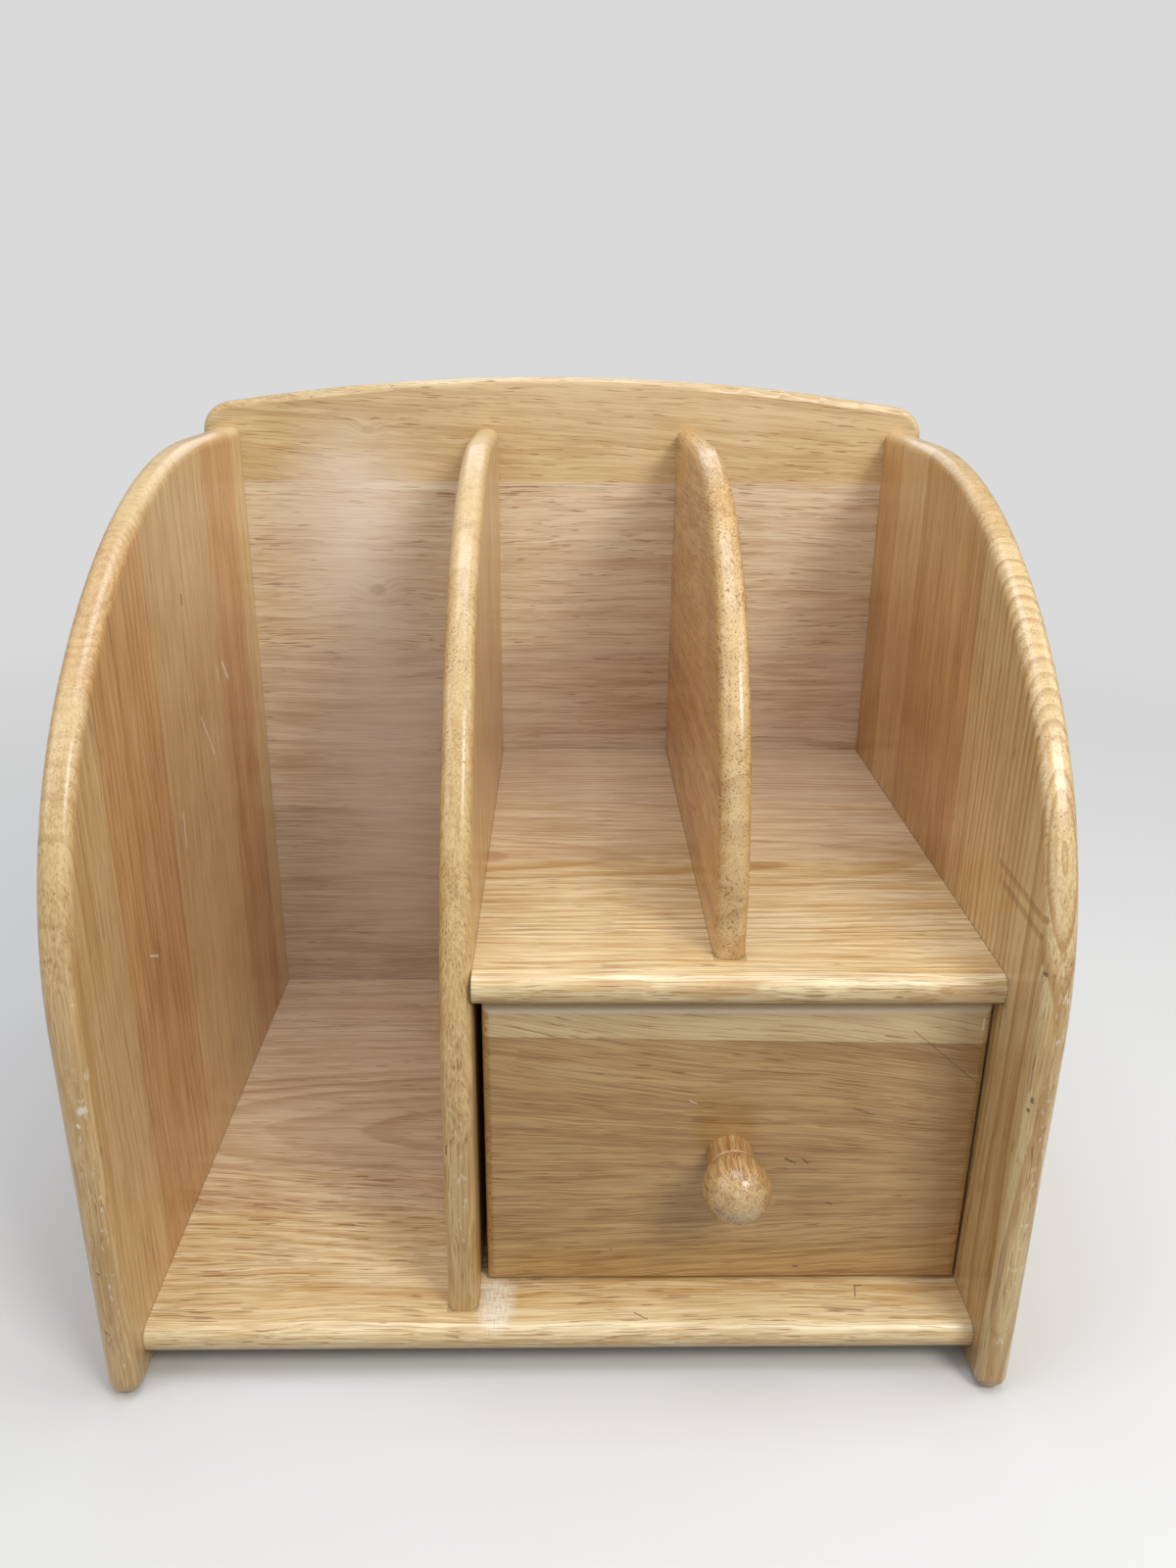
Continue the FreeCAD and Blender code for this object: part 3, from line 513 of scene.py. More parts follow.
def wear_and_painted_light(wood, height, gloss, place, facing, faces):
    """The marks of each listed face, painted sheen and painted highlight among them, on the colour, the
    height and the lacquer.
    """
    for face in faces:
        first, second, on_face = marked_face(place, facing, face)
        found = {kind: marks_of(first, second, on_face, face.marks, kind)
                 for kind in ("painted_sheen", "rub", "painted_highlight", "chips", *CUTS)}
        # Painted sheen: a milky pale veil in waves that stands for the lacquer's reflection.
        if found["painted_sheen"]:
            wave = flat_noise(first, second, *SHEEN_WAVES)
            wood = wood.mix(found["painted_sheen"] * wave.ramp(-0.2, 0.75) * PAINTED_SHEEN_SHARE, PAINTED_SHEEN)
        if found["rub"]:
            warp = flat_noise(first, second, *THREAD)
            weft = flat_noise(first, second, *reversed(THREAD), level=3.0)
            worn = found["rub"] * (warp + weft - 0.45).ramp(0.15, 0.75)
            wood = wood.mix(worn, CHIPPED)
            gloss = gloss * (1.0 - worn * 0.8)
        # Painted highlight: an edge band lightened as if the light caught it.
        if found["painted_highlight"]:
            wood = wood.mix(found["painted_highlight"] * PAINTED_HIGHLIGHT_SHARE, RUBBED_AND_HIGHLIGHT)
        if found["chips"]:
            flakes = (flat_noise(first, second, *FLAKE) - FLAKE_LEVEL).ramp(0.0, 0.08)
            flaked = found["chips"] * flakes
            wood = wood.mix(flaked * FLAKE_CUT.share, FLAKE_CUT.tint)
            height = height - flaked * FLAKE_CUT.depth
        for kind, cut in CUTS.items():
            if found[kind]:
                wood = wood.mix(found[kind] * cut.share, cut.tint)
                height = height - found[kind] * cut.depth
    return wood, height, gloss


def scuffed_edges(wood, rough, gloss, place, facing):
    """Rounded edges rubbed pale and dull in patches. facing is the flat faces' direction."""
    flat = abs(facing)
    arris = flat.ramp(0.10, 0.5) * flat.ramp(0.85, 0.99, 1.0, 0.0)
    scuffed = cloud(place, SCUFF, 3.0).ramp(0.62, 0.75) * cloud(place, PATCH).ramp(0.5, 0.65)
    rubbed = arris * scuffed
    return wood.mix(rubbed * 0.4, RUBBED_AND_HIGHLIGHT), rough + rubbed * 0.2, gloss * (1.0 - rubbed * 0.7)


print("cuts:", {kind: cut.depth for kind, cut in CUTS.items()})

# %% [markdown]
# One function brings it all together. It starts between the pale and the deep tone of
# the strip, lays rings, vessels, knots and glue lines over them, and hands the colour,
# the roughness, the gloss and the height to the shader.

# %% The whole finish
BLOTCH = 0.03                   # metres
EVEN_SHADE = 0.42               # between pale and deep, where nothing adds to it
RING_SHADE, BLOTCH_SHADE = 0.6, 0.5
END_SHARE = 0.45
END_PATCH = 0.007               # metres: darker patches on end grain
END_PATCH_SHARE = 0.4
RING_SHARE = 0.38
RING_ON_END = 0.14              # more where the end grain shows
LINE_SHARE = 0.42
DASH_SHARE = 0.62
SEAM_SHARE = 0.18
LACQUER_ROUGH = 0.42
COAT_ROUGH = 0.22
JOINT_SHADE_LINE = (0.0001, 0.0005)   # metres: painted shade at a joint, full strength inside, gone outside
JOINT_SHADE_SHARE = 0.4


def rubberwood(name, grain_axis, across_axis, strips, heart=Heart(0, 60, 0.0), pitch=6.0,
               run=1.0, pore=1.0, seam_lean=0.0, fan=None, knots=(), faces=(), joints=(),
               worn_axis=None, coat=0.6):
    """The finish of one board. Lengths are in millimetres, in the sorter's own frame."""
    material, start, shader = new_finish(name)
    place = start.node("ShaderNodeTexCoord", output="Object")
    grain = glued_strips(place, grain_axis, across_axis, strips, seam_lean, fan)
    pale = per_strip(grain.level, strips, [strip.tone.pale for strip in strips])
    deep = per_strip(grain.level, strips, [strip.tone.deep for strip in strips])
    grain, knot_dark = bend_round(grain, knots)

    facing = start.node("ShaderNodeNewGeometry", output="Normal").split()
    end_grain = abs(facing[grain_axis]).ramp(0.2, 0.85)

    streak, fibres = streaks(grain, run)
    rings = growth_rings(grain, heart, pitch) * grain.rings
    dashes, lines = vessels(grain, pore)
    blotch = cloud(place, BLOTCH)
    shade = streak + rings * RING_SHADE + (blotch - 0.5) * BLOTCH_SHADE + EVEN_SHADE
    shade = shade.ramp(0.0, 1.0)
    wood = pale.mix(shade, deep)
    wood = wood.mix(end_grain * END_SHARE, END_GRAIN)
    wood = wood.mix(rings * (RING_SHARE + end_grain * RING_ON_END), RING)
    wood = wood.mix(end_grain * cloud(place, END_PATCH).ramp(0.5, 0.72) * END_PATCH_SHARE, deep)
    wood = wood.mix(lines * LINE_SHARE, PORE)
    wood = wood.mix(dashes * DASH_SHARE, PORE)
    if knot_dark:
        wood = wood.mix(knot_dark, KNOT)
    if grain.seam:
        wood = wood.mix(grain.seam * SEAM_SHARE, SEAM_AND_GAP_SHADE)

    height = fibres * 0.15 - dashes * 0.6
    rough = LACQUER_ROUGH + (blotch - 0.5) * 0.2 + dashes * 0.2
    gloss = coat - dashes * coat * 0.6
    wood, height, gloss = wear_and_painted_light(wood, height, gloss, place, facing, faces)

    # Painted shade: a thin dark line in the gap where a neighbouring board meets this one.
    for neighbour in joints:
        wood = wood.mix(outside_box(place, neighbour).ramp(*JOINT_SHADE_LINE, JOINT_SHADE_SHARE, 0.0), SEAM_AND_GAP_SHADE)
    if worn_axis:
        wood, rough, gloss = scuffed_edges(wood, rough, gloss, place, facing[worn_axis])

    finish_with(start, shader, wood, rough, height, strength=0.4)
    if coat:                    # bare wood keeps the shader's own coat of nothing
        start.tree.links.new(gloss.socket, shader.inputs["Coat Weight"])
        shader.inputs["Coat Roughness"].default_value = COAT_ROUGH
    return material


def marked(node, axis, high, marks):
    """Marks on a board's flat face: the high or the low one along an axis of the frame."""
    level = getattr(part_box(node)[1 if high else 0], axis) / MM
    print(len(marks), "marks on", node, "at", axis, round(level, 2), "mm")
    return Face(axis, level, marks)


def dress(node, material):
    """Give a board its finish. Its mesh stays as the frame has it."""
    for slot in boards[node].material_slots:
        slot.material = material


print("the finish is ready to use")

# %% [markdown]
# ## The two sides
# The uprights stand with their grain plumb. Each is four or five strips wide, and orange
# strips take turns with paler ones. The curved front edge cuts across the grain near
# the top, so it is pale and ringed there, and turns to long grain with short dark dashes
# where it comes down plumb.

# %% Dress the sides
AMBER = Tone(colour("DDB178"), colour("B5854C"))
STRAW = Tone(colour("E2C18C"), colour("C29A62"))
PALE_STRAW = Tone(colour("E6CB96"), colour("CBA66C"))
TAN = Tone(colour("D9B072"), colour("AC8042"))

LEFT_STRIPS = [Strip(-150, STRAW, 0.35, 0.4, 0.5, 0.0), Strip(-97.8, AMBER, 0.5, 0.3, 0.5, 0.01),
               Strip(-30, STRAW, 0.25, 0.2, 0.5, -0.01), Strip(60, AMBER, 0.2, 0.2, 0.5, 0.0),
               Strip(112, PALE_STRAW, 0.1, 0.2, 0.5, 0.0)]
LEFT_MARKS = [
    Mark("nick", (13.6, 279.5), (13.6, 275.5), 1.2),
    Mark("scratch", (54, 236), (56, 229), 0.8),
    Mark("scratch", (64, 236), (70, 227), 1.5),
    Mark("scratch", (22.5, 222), (35, 203), 0.8),
    Mark("scratch", (33, 206), (36, 200), 1.3),
    Mark("scratch", (-16, 191), (-17, 176), 0.9),
    Mark("scratch", (-74, 154.5), (-66, 150), 0.7),
]
LEFT_EDGE = [
    Mark("scratch", (-165.8, 134.2), (-166.2, 133.4), 1.9),
    Mark("scratch", (-168, 128), (-167.6, 127), 0.8),
    Mark("chips", (-166, 150), (-167, 20), 5.0),
    Mark("nick", (-170.6, 34.4), (-170.4, 34), 0.6),
    Mark("nick", (-169.7, 62.4), (-169.6, 61.8), 0.5),
]
RIGHT_STRIPS = [Strip(-150, PALE_STRAW, 1.1, 0.6, 0.8, 0.0), Strip(-37, TAN, 0.4, 0.3, 1.0, -0.02),
                Strip(52, STRAW, 0.2, 0.3, 0.7, 0.02), Strip(95, TAN, 0.2, 0.3, 0.8, 0.0)]
RIGHT_MARKS = [
    Mark("dent", (-93, 204.5), (-137, 203.0), 1.9),
    Mark("dent", (-99, 198.5), (-137, 196.5), 1.9),
    Mark("nick", (-144, 188), (-145, 181), 0.8),
]
RIGHT_EDGE = [
    Mark("nick", (163.7, 185.9), (163.8, 185.2), 0.8),
    Mark("nick", (164.9, 137.5), (165.0, 136.2), 0.9),
    Mark("nick", (164.2, 133), (164.3, 132.2), 0.7),
    Mark("chips", (171, 200), (171, 120), 4.5),
    Mark("chips", (170, 120), (169, 25), 4.0),
]
dress("left_side", rubberwood(
    "left_side_lacquer", "z", "y", LEFT_STRIPS, heart=Heart(-60, -168.5, 0.0, 2.2), pitch=3.6,
    worn_axis="x", faces=(marked("left_side", "x", True, LEFT_MARKS), Face("y", None, LEFT_EDGE)),
    joints=("base_shelf", "back_panel")))
dress("right_side", rubberwood(
    "right_side_lacquer", "z", "y", RIGHT_STRIPS, heart=Heart(-132, 168.5, 0.0, 2.2), pitch=4.4,
    worn_axis="x", faces=(marked("right_side", "x", False, RIGHT_MARKS), Face("y", None, RIGHT_EDGE)),
    joints=("base_shelf", "drawer_shelf", "back_panel")))
print("sides dressed")

# %% [markdown]
# ## Dividers
# The tall divider's front edge is half end grain at its nose and long grain below. The
# small divider is sawn the other way: its grain runs from front to back, so the edge is
# long grain at the top, and turns to end grain, stippled with vessels, as it comes down.

# %% Dress the dividers
OAT = Tone(colour("DFC088"), colour("BE965A"))
WHEAT = Tone(colour("DDB678"), colour("B58648"))

CENTRE_EDGE = [
    Mark("chips", (-39, 120), (-39, 60), 4.5),
    Mark("nick", (-43.2, 101.5), (-43.3, 97.5), 0.45),
]
dress("centre_divider", rubberwood(
    "centre_divider_lacquer", "z", "y",
    [Strip(-130, OAT, 0.3, 0.8, 0.6, 0.01), Strip(-28, STRAW, 0.2, 0.2, 0.5, 0.0)],
    heart=Heart(-60, 20, 0.02), worn_axis="x", faces=(Face("y", None, CENTRE_EDGE),),
    joints=("base_shelf", "drawer_shelf", "back_panel")))
dress("letter_divider", rubberwood(
    "letter_divider_lacquer", "y", "z",
    [Strip(160, WHEAT, 0.5, 1.2, 0.3, 0.03), Strip(238, WHEAT, 0.3, 1.25, 0.3, 0.02)],
    heart=Heart(150, 90, 0.05), pitch=14.0, pore=1.2, worn_axis="x",
    joints=("drawer_shelf", "back_panel")))
print("dividers dressed")

# %% [markdown]
# ## Back panel
# Its strips lie level. The top one is yellow, with patches of slanting dashes and a small
# knot; the one below it is pale and pinkish, with long thin dark lines and a second knot;
# the lower ones are browner, partly as painted shade. A milky pale veil behind the left bay is a painted
# sheen, the lacquer's reflection painted into the colour.

# %% Dress the back panel
BUTTER = Tone(colour("E5CB9A"), colour("CCA974"))
SHELL = Tone(colour("F3E2C4"), colour("DABE98"))
ROSE = Tone(colour("EFDCC4"), colour("CDB08E"))
# the two lowest strips: a browner tone of their own, and partly painted shade for the dim low bays
LOW_TONE_AND_SHADE = Tone(colour("E8D5C0"), colour("C2A68A"))

PANEL_SHEEN_AND_MARKS = [
    # The first three are painted sheen: the lacquer's reflection, painted pale into the colour.
    Mark("painted_sheen", (-108, 310), (-110, 262), 48),
    Mark("painted_sheen", (-100, 250), (-102, 200), 32),
    Mark("painted_sheen", (-92, 186), (-92, 80), 60),
    Mark("nick", (-54.5, 236), (-51, 235.6), 0.9),
]
dress("back_panel", rubberwood(
    "back_panel_lacquer", "x", "z",
    [Strip(0, LOW_TONE_AND_SHADE, 0.3, 0.3, 0.2, 0.0), Strip(54, LOW_TONE_AND_SHADE, 0.2, 0.4, 0.3, 0.01),
     Strip(132, ROSE, 0.2, 0.45, 0.2, -0.01), Strip(224, SHELL, 0.25, 0.75, 0.7, 0.0),
     Strip(311.5, BUTTER, 0.2, 0.8, 0.2, 0.06)],
    heart=Heart(190, 150, 0.05), pitch=9.0, run=0.5, worn_axis="y",
    knots=(Knot(-98.8, 332, 2.4, 0.25), Knot(-97.8, 256, 3.2, 0.6)),
    faces=(marked("back_panel", "y", False, PANEL_SHEEN_AND_MARKS),), joints=("drawer_shelf", "base_shelf")))
print("back panel dressed")

# %% [markdown]
# ## Shelves
# Both shelves run from left to right and are the palest boards, most of all along the
# rounded front. The base shelf shows an arched figure half way back, and bold slanting
# dashes in front of it.

# %% Dress the shelves
CREAM = Tone(colour("F7E2B4"), colour("D2A96A"))
SAND = Tone(colour("F3DCB4"), colour("CDA676"))
FAWN = Tone(colour("ECD4B0"), colour("CFAE86"))

BASE_MARKS = [
    Mark("rub", (-26, -114), (-26, -126), 10.0),
    Mark("nick", (120.2, -111.5), (119, -117.5), 0.35),
    Mark("nick", (120.5, -112), (122.5, -111.6), 0.5),
    Mark("nick", (29, -125.5), (34, -129), 0.35),
]
SHELF_MARKS = [
    Mark("nick", (122, -123), (123, -124), 0.7),
]
dress("base_shelf", rubberwood(
    "base_shelf_lacquer", "x", "y",
    [Strip(-140, CREAM, 0.3, 0.8, 0.85, 0.0), Strip(-99, CREAM, 0.4, 1.0, 0.8, 0.03),
     Strip(-68, SAND, 0.3, 1.15, 0.8, 0.12), Strip(-38.7, FAWN, 0.9, 0.4, 0.4, 0.0),
     Strip(34, FAWN, 0.3, 0.2, 0.4, 0.0), Strip(77, FAWN, 0.5, 0.4, 0.4, 0.0)],
    heart=Heart(-8, 31.8, 0.155), pitch=7.0, worn_axis="z",
    faces=(marked("base_shelf", "z", True, BASE_MARKS),),
    joints=("left_side", "right_side", "back_panel", "centre_divider")))
dress("drawer_shelf", rubberwood(
    "drawer_shelf_lacquer", "x", "y",
    [Strip(-140, CREAM, 0.6, 0.7, 0.85, 0.0), Strip(-83, CREAM, 0.8, 0.7, 0.8, 0.01),
     Strip(-16, SAND, 0.4, 0.5, 0.7, 0.02), Strip(55, FAWN, 0.6, 0.3, 0.4, -0.02)],
    heart=Heart(-10, 130, 0.05), pitch=3.5, worn_axis="z",
    faces=(marked("drawer_shelf", "z", True, SHELF_MARKS),),
    joints=("centre_divider", "right_side", "back_panel", "letter_divider")))
print("shelves dressed")

# %% [markdown]
# ## Drawer
# The front is one wide tan board whose fine lines draw together towards the right, under
# a narrow yellow strip, and its top edge carries a painted highlight. The walls of the box are bare wood
# without lacquer.

# %% Dress the drawer
BISCUIT = Tone(colour("CCA86F"), colour("A37B49"))
LINEN = Tone(colour("E4CC9C"), colour("C8A874"))
BARE = Tone(colour("EBD3A8"), colour("D2AF7C"))
HONEY = Tone(colour("D6B27A"), colour("9F6D36"))

DRAWER_HIGHLIGHT_AND_MARKS = [
    # the first is a painted highlight along the top roundover
    Mark("painted_highlight", (-30, 151.2), (162, 151.2), 2.4),
    Mark("nick", (88, 83.5), (92, 81.5), 0.7),
    Mark("nick", (95, 83), (97, 81.5), 0.6),
    Mark("nick", (106, 62), (108, 61.5), 0.6),
    Mark("nick", (20, 39), (20, 39.2), 0.5),
    Mark("nick", (95, 30), (96.5, 30), 0.7),
    Mark("nick", (113, 107), (121, 104), 0.35),
    Mark("nick", (132.8, 142), (160, 118.3), 0.22),
    Mark("scratch", (158.8, 147), (158.6, 142.5), 0.7),
    Mark("scratch", (49, 111), (52, 109.4), 0.3),
]
dress("drawer_front", rubberwood(
    "drawer_front_lacquer", "x", "z",
    [Strip(0, BISCUIT, 0.35, 0.85, 1.0, 0.0), Strip(138.5, LINEN, 0.2, 0.7, 0.4, 0.0)],
    heart=Heart(77, -150, 0.02), pitch=5.0, seam_lean=0.0175, fan=Fan(77, 66, 2.0), worn_axis="y",
    faces=(marked("drawer_front", "y", False, DRAWER_HIGHLIGHT_AND_MARKS),)))
for node, along in (("drawer_left_side", "y"), ("drawer_right_side", "y"), ("drawer_back", "x")):
    dress(node, rubberwood(node + "_wood", along, "z",
                           [Strip(0, BARE, 0.5, 0.6, 0.4, 0.0), Strip(85, BARE, 0.3, 0.5, 0.4, 0.01)],
                           heart=Heart(40, -260, 0.03), pitch=7.0, coat=0.0))
dress("drawer_knob", rubberwood("knob_lacquer", "y", "z", [Strip(60, HONEY, 0.25, 1.35, 0.8, 0.0)],
                                heart=Heart(70, 52, 0.0), pitch=4.5, coat=0.8))
dowel_rod = rubberwood("dowel_rod", "x", "z", [Strip(0, BARE, 0.3, 0.5, 0.4, 0.0)], coat=0.0)
for node in boards:
    if "dowels" in node:
        dress(node, dowel_rod)
print("drawer dressed")

# %% [markdown]
# The drawer's bottom is three-ply. A veneer peeled from a turning log crosses the growth
# rings at a flat angle, so its figure is wide wandering flames. It needs its own formula,
# because the figure of a sawn board is narrow and straight. At the edges the middle ply
# shows end grain, which is darker.

# %% Plywood
VENEER = Tone(colour("EFD9B4"), colour("D8B485"))
PLIES = 3
FLAME_WAVES = (0.16, 0.06)      # metres: length and width
FLAME_REACH = 7.0               # flames: how far the waves move one aside
FLAME_PITCH = 0.05              # metres
PLY_FIBRE = (0.03, 0.0008)      # metres: length and width
PLY_PORE = (0.006, 0.0005)
PLY_PORE_LEVEL = 0.66           # noise above this level is a pore
PLY_BLOTCH = 0.04               # metres


def peeled_plywood(name, node):
    """Thin three-ply: flames on its faces, and a dark middle ply at its edges."""
    material, start, shader = new_finish(name)
    low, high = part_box(node)
    place = start.node("ShaderNodeTexCoord", output="Object")
    along, across, up = place.split().values()
    waves = flat_noise(along, across, *FLAME_WAVES, 1.0)
    count = waves * FLAME_REACH + across / FLAME_PITCH
    part = count.math("FRACT", count)
    flame = part.ramp(0.2, 0.9) * part.ramp(0.9, 1.0, 1.0, 0.0)
    fibre = flat_noise(along, across, *PLY_FIBRE, 1.0, level=2.0)
    pores = (flat_noise(along, across, *PLY_PORE, level=5.0) - PLY_PORE_LEVEL).ramp(0.0, 0.06)
    shade = flame * 0.5 + (fibre - 0.5) * 0.9 + (cloud(place, PLY_BLOTCH) - 0.5) * 0.4 + 0.3
    pale, deep = (per_strip(across, [Strip(0, VENEER, 0, 0, 0, 0)], [value]) for value in VENEER)
    wood = pale.mix(shade.ramp(0.0, 1.0), deep).mix(pores * 0.4, PORE)
    ply = (up - low.z) / ((high.z - low.z) / PLIES)
    middle = abs(ply - PLIES / 2).ramp(0.45, 0.55, 1.0, 0.0)
    level = abs(start.node("ShaderNodeNewGeometry", output="Normal").split()["z"])
    wood = wood.mix(middle * level.ramp(0.3, 0.6, 0.7, 0.0), RING)
    finish_with(start, shader, wood, 0.55 + fibre * 0.2, fibre * 0.3 - pores, strength=0.3)
    return material


dress("drawer_bottom", peeled_plywood("plywood_face", "drawer_bottom"))
print("drawer bottom dressed")

# %% [markdown]
# ## Steel screws
# Seven countersunk screws hold the back panel, four more come up through the shelves into
# the dividers, and one pan head screw holds the knob from inside. A screw is a lathe form
# with a helical tooth, so one geometry tree draws it from its sizes and sets a copy at
# every seat. The trick is a skewed grid: each row of vertices climbs one pitch on its way
# round, so a whole row can be the crest of the thread and no crest is cut into steps.

# %% Bright zinc
ZINC, TARNISHED = colour("BFC0BF"), colour("8F8D84")
TARNISH_SIZE = 0.0011           # metres
RUB_SIZE = 0.0002               # metres: the fine rubs that dull the plating


def bright_zinc(name):
    """Zinc-plated steel: grey metal with a faint cloudy tarnish."""
    material, start, shader = new_finish(name)
    place = start.node("ShaderNodeTexCoord", output="Object")
    tarnish = cloud(place, TARNISH_SIZE, 3.0)
    scratches = cloud(place.node("ShaderNodeVectorMath", {"operation": "MULTIPLY"},
                                 {0: place, 1: (1.0, 0.12, 0.4)}), RUB_SIZE)
    base = start.node("ShaderNodeRGB")
    base.socket.default_value = ZINC
    finish_with(start, shader, base.mix(tarnish.ramp(0.35, 0.75), TARNISHED),
                0.26 + tarnish * 0.2 + scratches * 0.1, scratches, strength=0.15, depth=0.0001)
    shader.inputs["Metallic"].default_value = 1.0
    return material


steel = bright_zinc("bright_zinc")
for node in boards:
    if "screw" in node or "pins" in node:
        dress(node, steel)
print("steel on", [node for node in boards if "screw" in node or "pins" in node])

# %% [markdown]
# Each screw's seat is measured on its plain blank in the joinery frame: the blank's
# middle, the level of its head along the way the head faces, and its length.

# %% Screw seats
ONE_BLANK = 0.010               # metres: vertices nearer than this belong to one blank


def screw_seats(node, faces):
    """The head centre of each blank in a node, and the blanks' length."""
    faces = Vector(faces)
    groups = []
    for vertex in boards[node].data.vertices:
        spot = vertex.co - faces * vertex.co.dot(faces)
        near = [group for group in groups if (group[0][0] - spot).length < ONE_BLANK]
        if near:
            near[0].append((spot, vertex.co.dot(faces)))
        else:
            groups.append([(spot, vertex.co.dot(faces))])
    seats = []
    for group in groups:
        spots = [spot for spot, level in group]
        levels = [level for spot, level in group]
        middle = Vector([(min(s[i] for s in spots) + max(s[i] for s in spots)) / 2 for i in range(3)])
        seats.append(middle + faces * max(levels))
    return seats, max(levels) - min(levels)


BACKWARD, DOWNWARD = (0.0, 1.0, 0.0), (0.0, 0.0, -1.0)
carcass_seats = []
for node, faces in (("back_panel_screws", BACKWARD), ("centre_divider_screws", DOWNWARD),
                    ("letter_divider_screws", DOWNWARD)):
    seats, screw_length = screw_seats(node, faces)
    carcass_seats += [(seat, faces) for seat in seats]
    print(node, len(seats), "screws of", round(screw_length / MM, 1), "mm")
knob_seats, knob_screw_length = screw_seats("knob_screw", BACKWARD)
print("knob screw", round(knob_screw_length / MM, 1), "mm, head at", knob_seats[0])

# %% The screw tree
SCREW_INPUTS = [("Places", "NodeSocketGeometry", None), ("Length", "NodeSocketFloat", 0.034),
                ("Turns", "NodeSocketInt", 18), ("Head radius", "NodeSocketFloat", 0.0035),
                ("Head height", "NodeSocketFloat", 0.0027), ("Dome", "NodeSocketFloat", 0.0),
                ("Core radius", "NodeSocketFloat", 0.0012), ("Thread radius", "NodeSocketFloat", 0.00168),
                ("Plain length", "NodeSocketFloat", 0.010), ("Tip length", "NodeSocketFloat", 0.005),
                ("Recess width", "NodeSocketFloat", 0.0009), ("Recess span", "NodeSocketFloat", 0.0038),
                ("Recess depth", "NodeSocketFloat", 0.0019), ("Steel", "NodeSocketMaterial", None)]
ROUND = 20                      # columns of the grid, round the screw
ROWS = 6                        # rows of the grid in each turn of the thread
SPIN_SEED = 11
RIM = 0.0003                    # metres: the straight rim of the head
DOME_SHARE = 0.65               # a full half-round head would be 1
TOOTH_SHARPNESS = 4.0           # the tooth is half as wide as the pitch at 4
CROSS_SKEW = 0.03               # radians: keeps the cross off the grid's own lines
ROW_NUDGE = 0.001               # turns: keeps a row at a whole turn from falling back by one
WELD = 1e-6                     # metres


def screw_radius(depth, turn_part, inputs):
    """The outline: a head, a plain neck, a thread of sharp teeth and a pointed tip."""
    cone = inputs["Head radius"] - depth.math("MAXIMUM", depth - RIM, 0.0)
    drop = depth.math("MINIMUM", depth / inputs["Head height"], 1.0)
    rise = drop.math("SQRT", 1.0 - (1.0 - drop) * (1.0 - drop) * DOME_SHARE)
    dome = inputs["Head radius"] * rise * (depth < inputs["Head height"])
    head = cone + (dome - cone) * inputs["Dome"]
    tooth = 1.0 - abs(turn_part - 0.5) * TOOTH_SHARPNESS
    tooth = tooth.math("MAXIMUM", tooth, 0.0) * (depth > inputs["Plain length"])
    shank = inputs["Core radius"] + (inputs["Thread radius"] - inputs["Core radius"]) * tooth
    left = (inputs["Length"] - depth) / inputs["Tip length"]
    shank = shank * left.math("MINIMUM", left, 1.0)
    return head.math("MAXIMUM", head, shank)


def one_screw(start, inputs):
    """A screw pointing down from the origin, as a skewed grid rolled up and closed."""
    rows = (inputs["Turns"] + 1) * ROWS + 1
    grid = start.node("GeometryNodeMeshGrid", None, {
        "Size X": 1.0, "Size Y": 1.0, "Vertices X": ROUND + 1, "Vertices Y": rows + 1}, "Mesh")
    place = start.node("GeometryNodeInputPosition")
    spot = place.split()
    round_part = spot["x"] + 0.5
    row = start.math("ROUND", (spot["y"] + 0.5) * rows)
    turn = (row - 1.0) / ROWS       # row 0 is the middle of the head
    depth = (inputs["Length"] / inputs["Turns"]) * (turn + round_part - 1.0)
    depth = depth.math("MINIMUM", depth.math("MAXIMUM", depth, 0.0), inputs["Length"])
    turn_part = start.math("FRACT", turn + ROW_NUDGE)
    radius = screw_radius(depth, turn_part, inputs) * (row > 0.5)
    angle = round_part * radians(-360)
    rolled = grid.node("GeometryNodeSetPosition", None, {
        "Geometry": grid,
        "Position": angle.join(radius * angle.math("COSINE", angle), radius * angle.math("SINE", angle),
                               0.0 - depth)})
    return rolled.node("GeometryNodeMergeByDistance", None, {"Geometry": rolled, "Distance": WELD})


def cross_recess(screw, inputs):
    """The driver's cross, cut by two crossed bars."""
    bars = []
    for quarter in (0.0, radians(90)):
        size = screw.join(inputs["Recess width"], inputs["Recess span"], inputs["Recess depth"] * 2.0)
        bar = screw.node("GeometryNodeMeshCube", None, {"Size": size}, "Mesh")
        bars.append(bar.node("GeometryNodeTransform", None,
                             {"Geometry": bar, "Rotation": (0.0, 0.0, quarter + CROSS_SKEW)}))
    return screw.node("GeometryNodeMeshBoolean", {"operation": "DIFFERENCE", "solver": "EXACT"},
                      {"Mesh 1": screw, "Mesh 2": bars}, "Mesh")


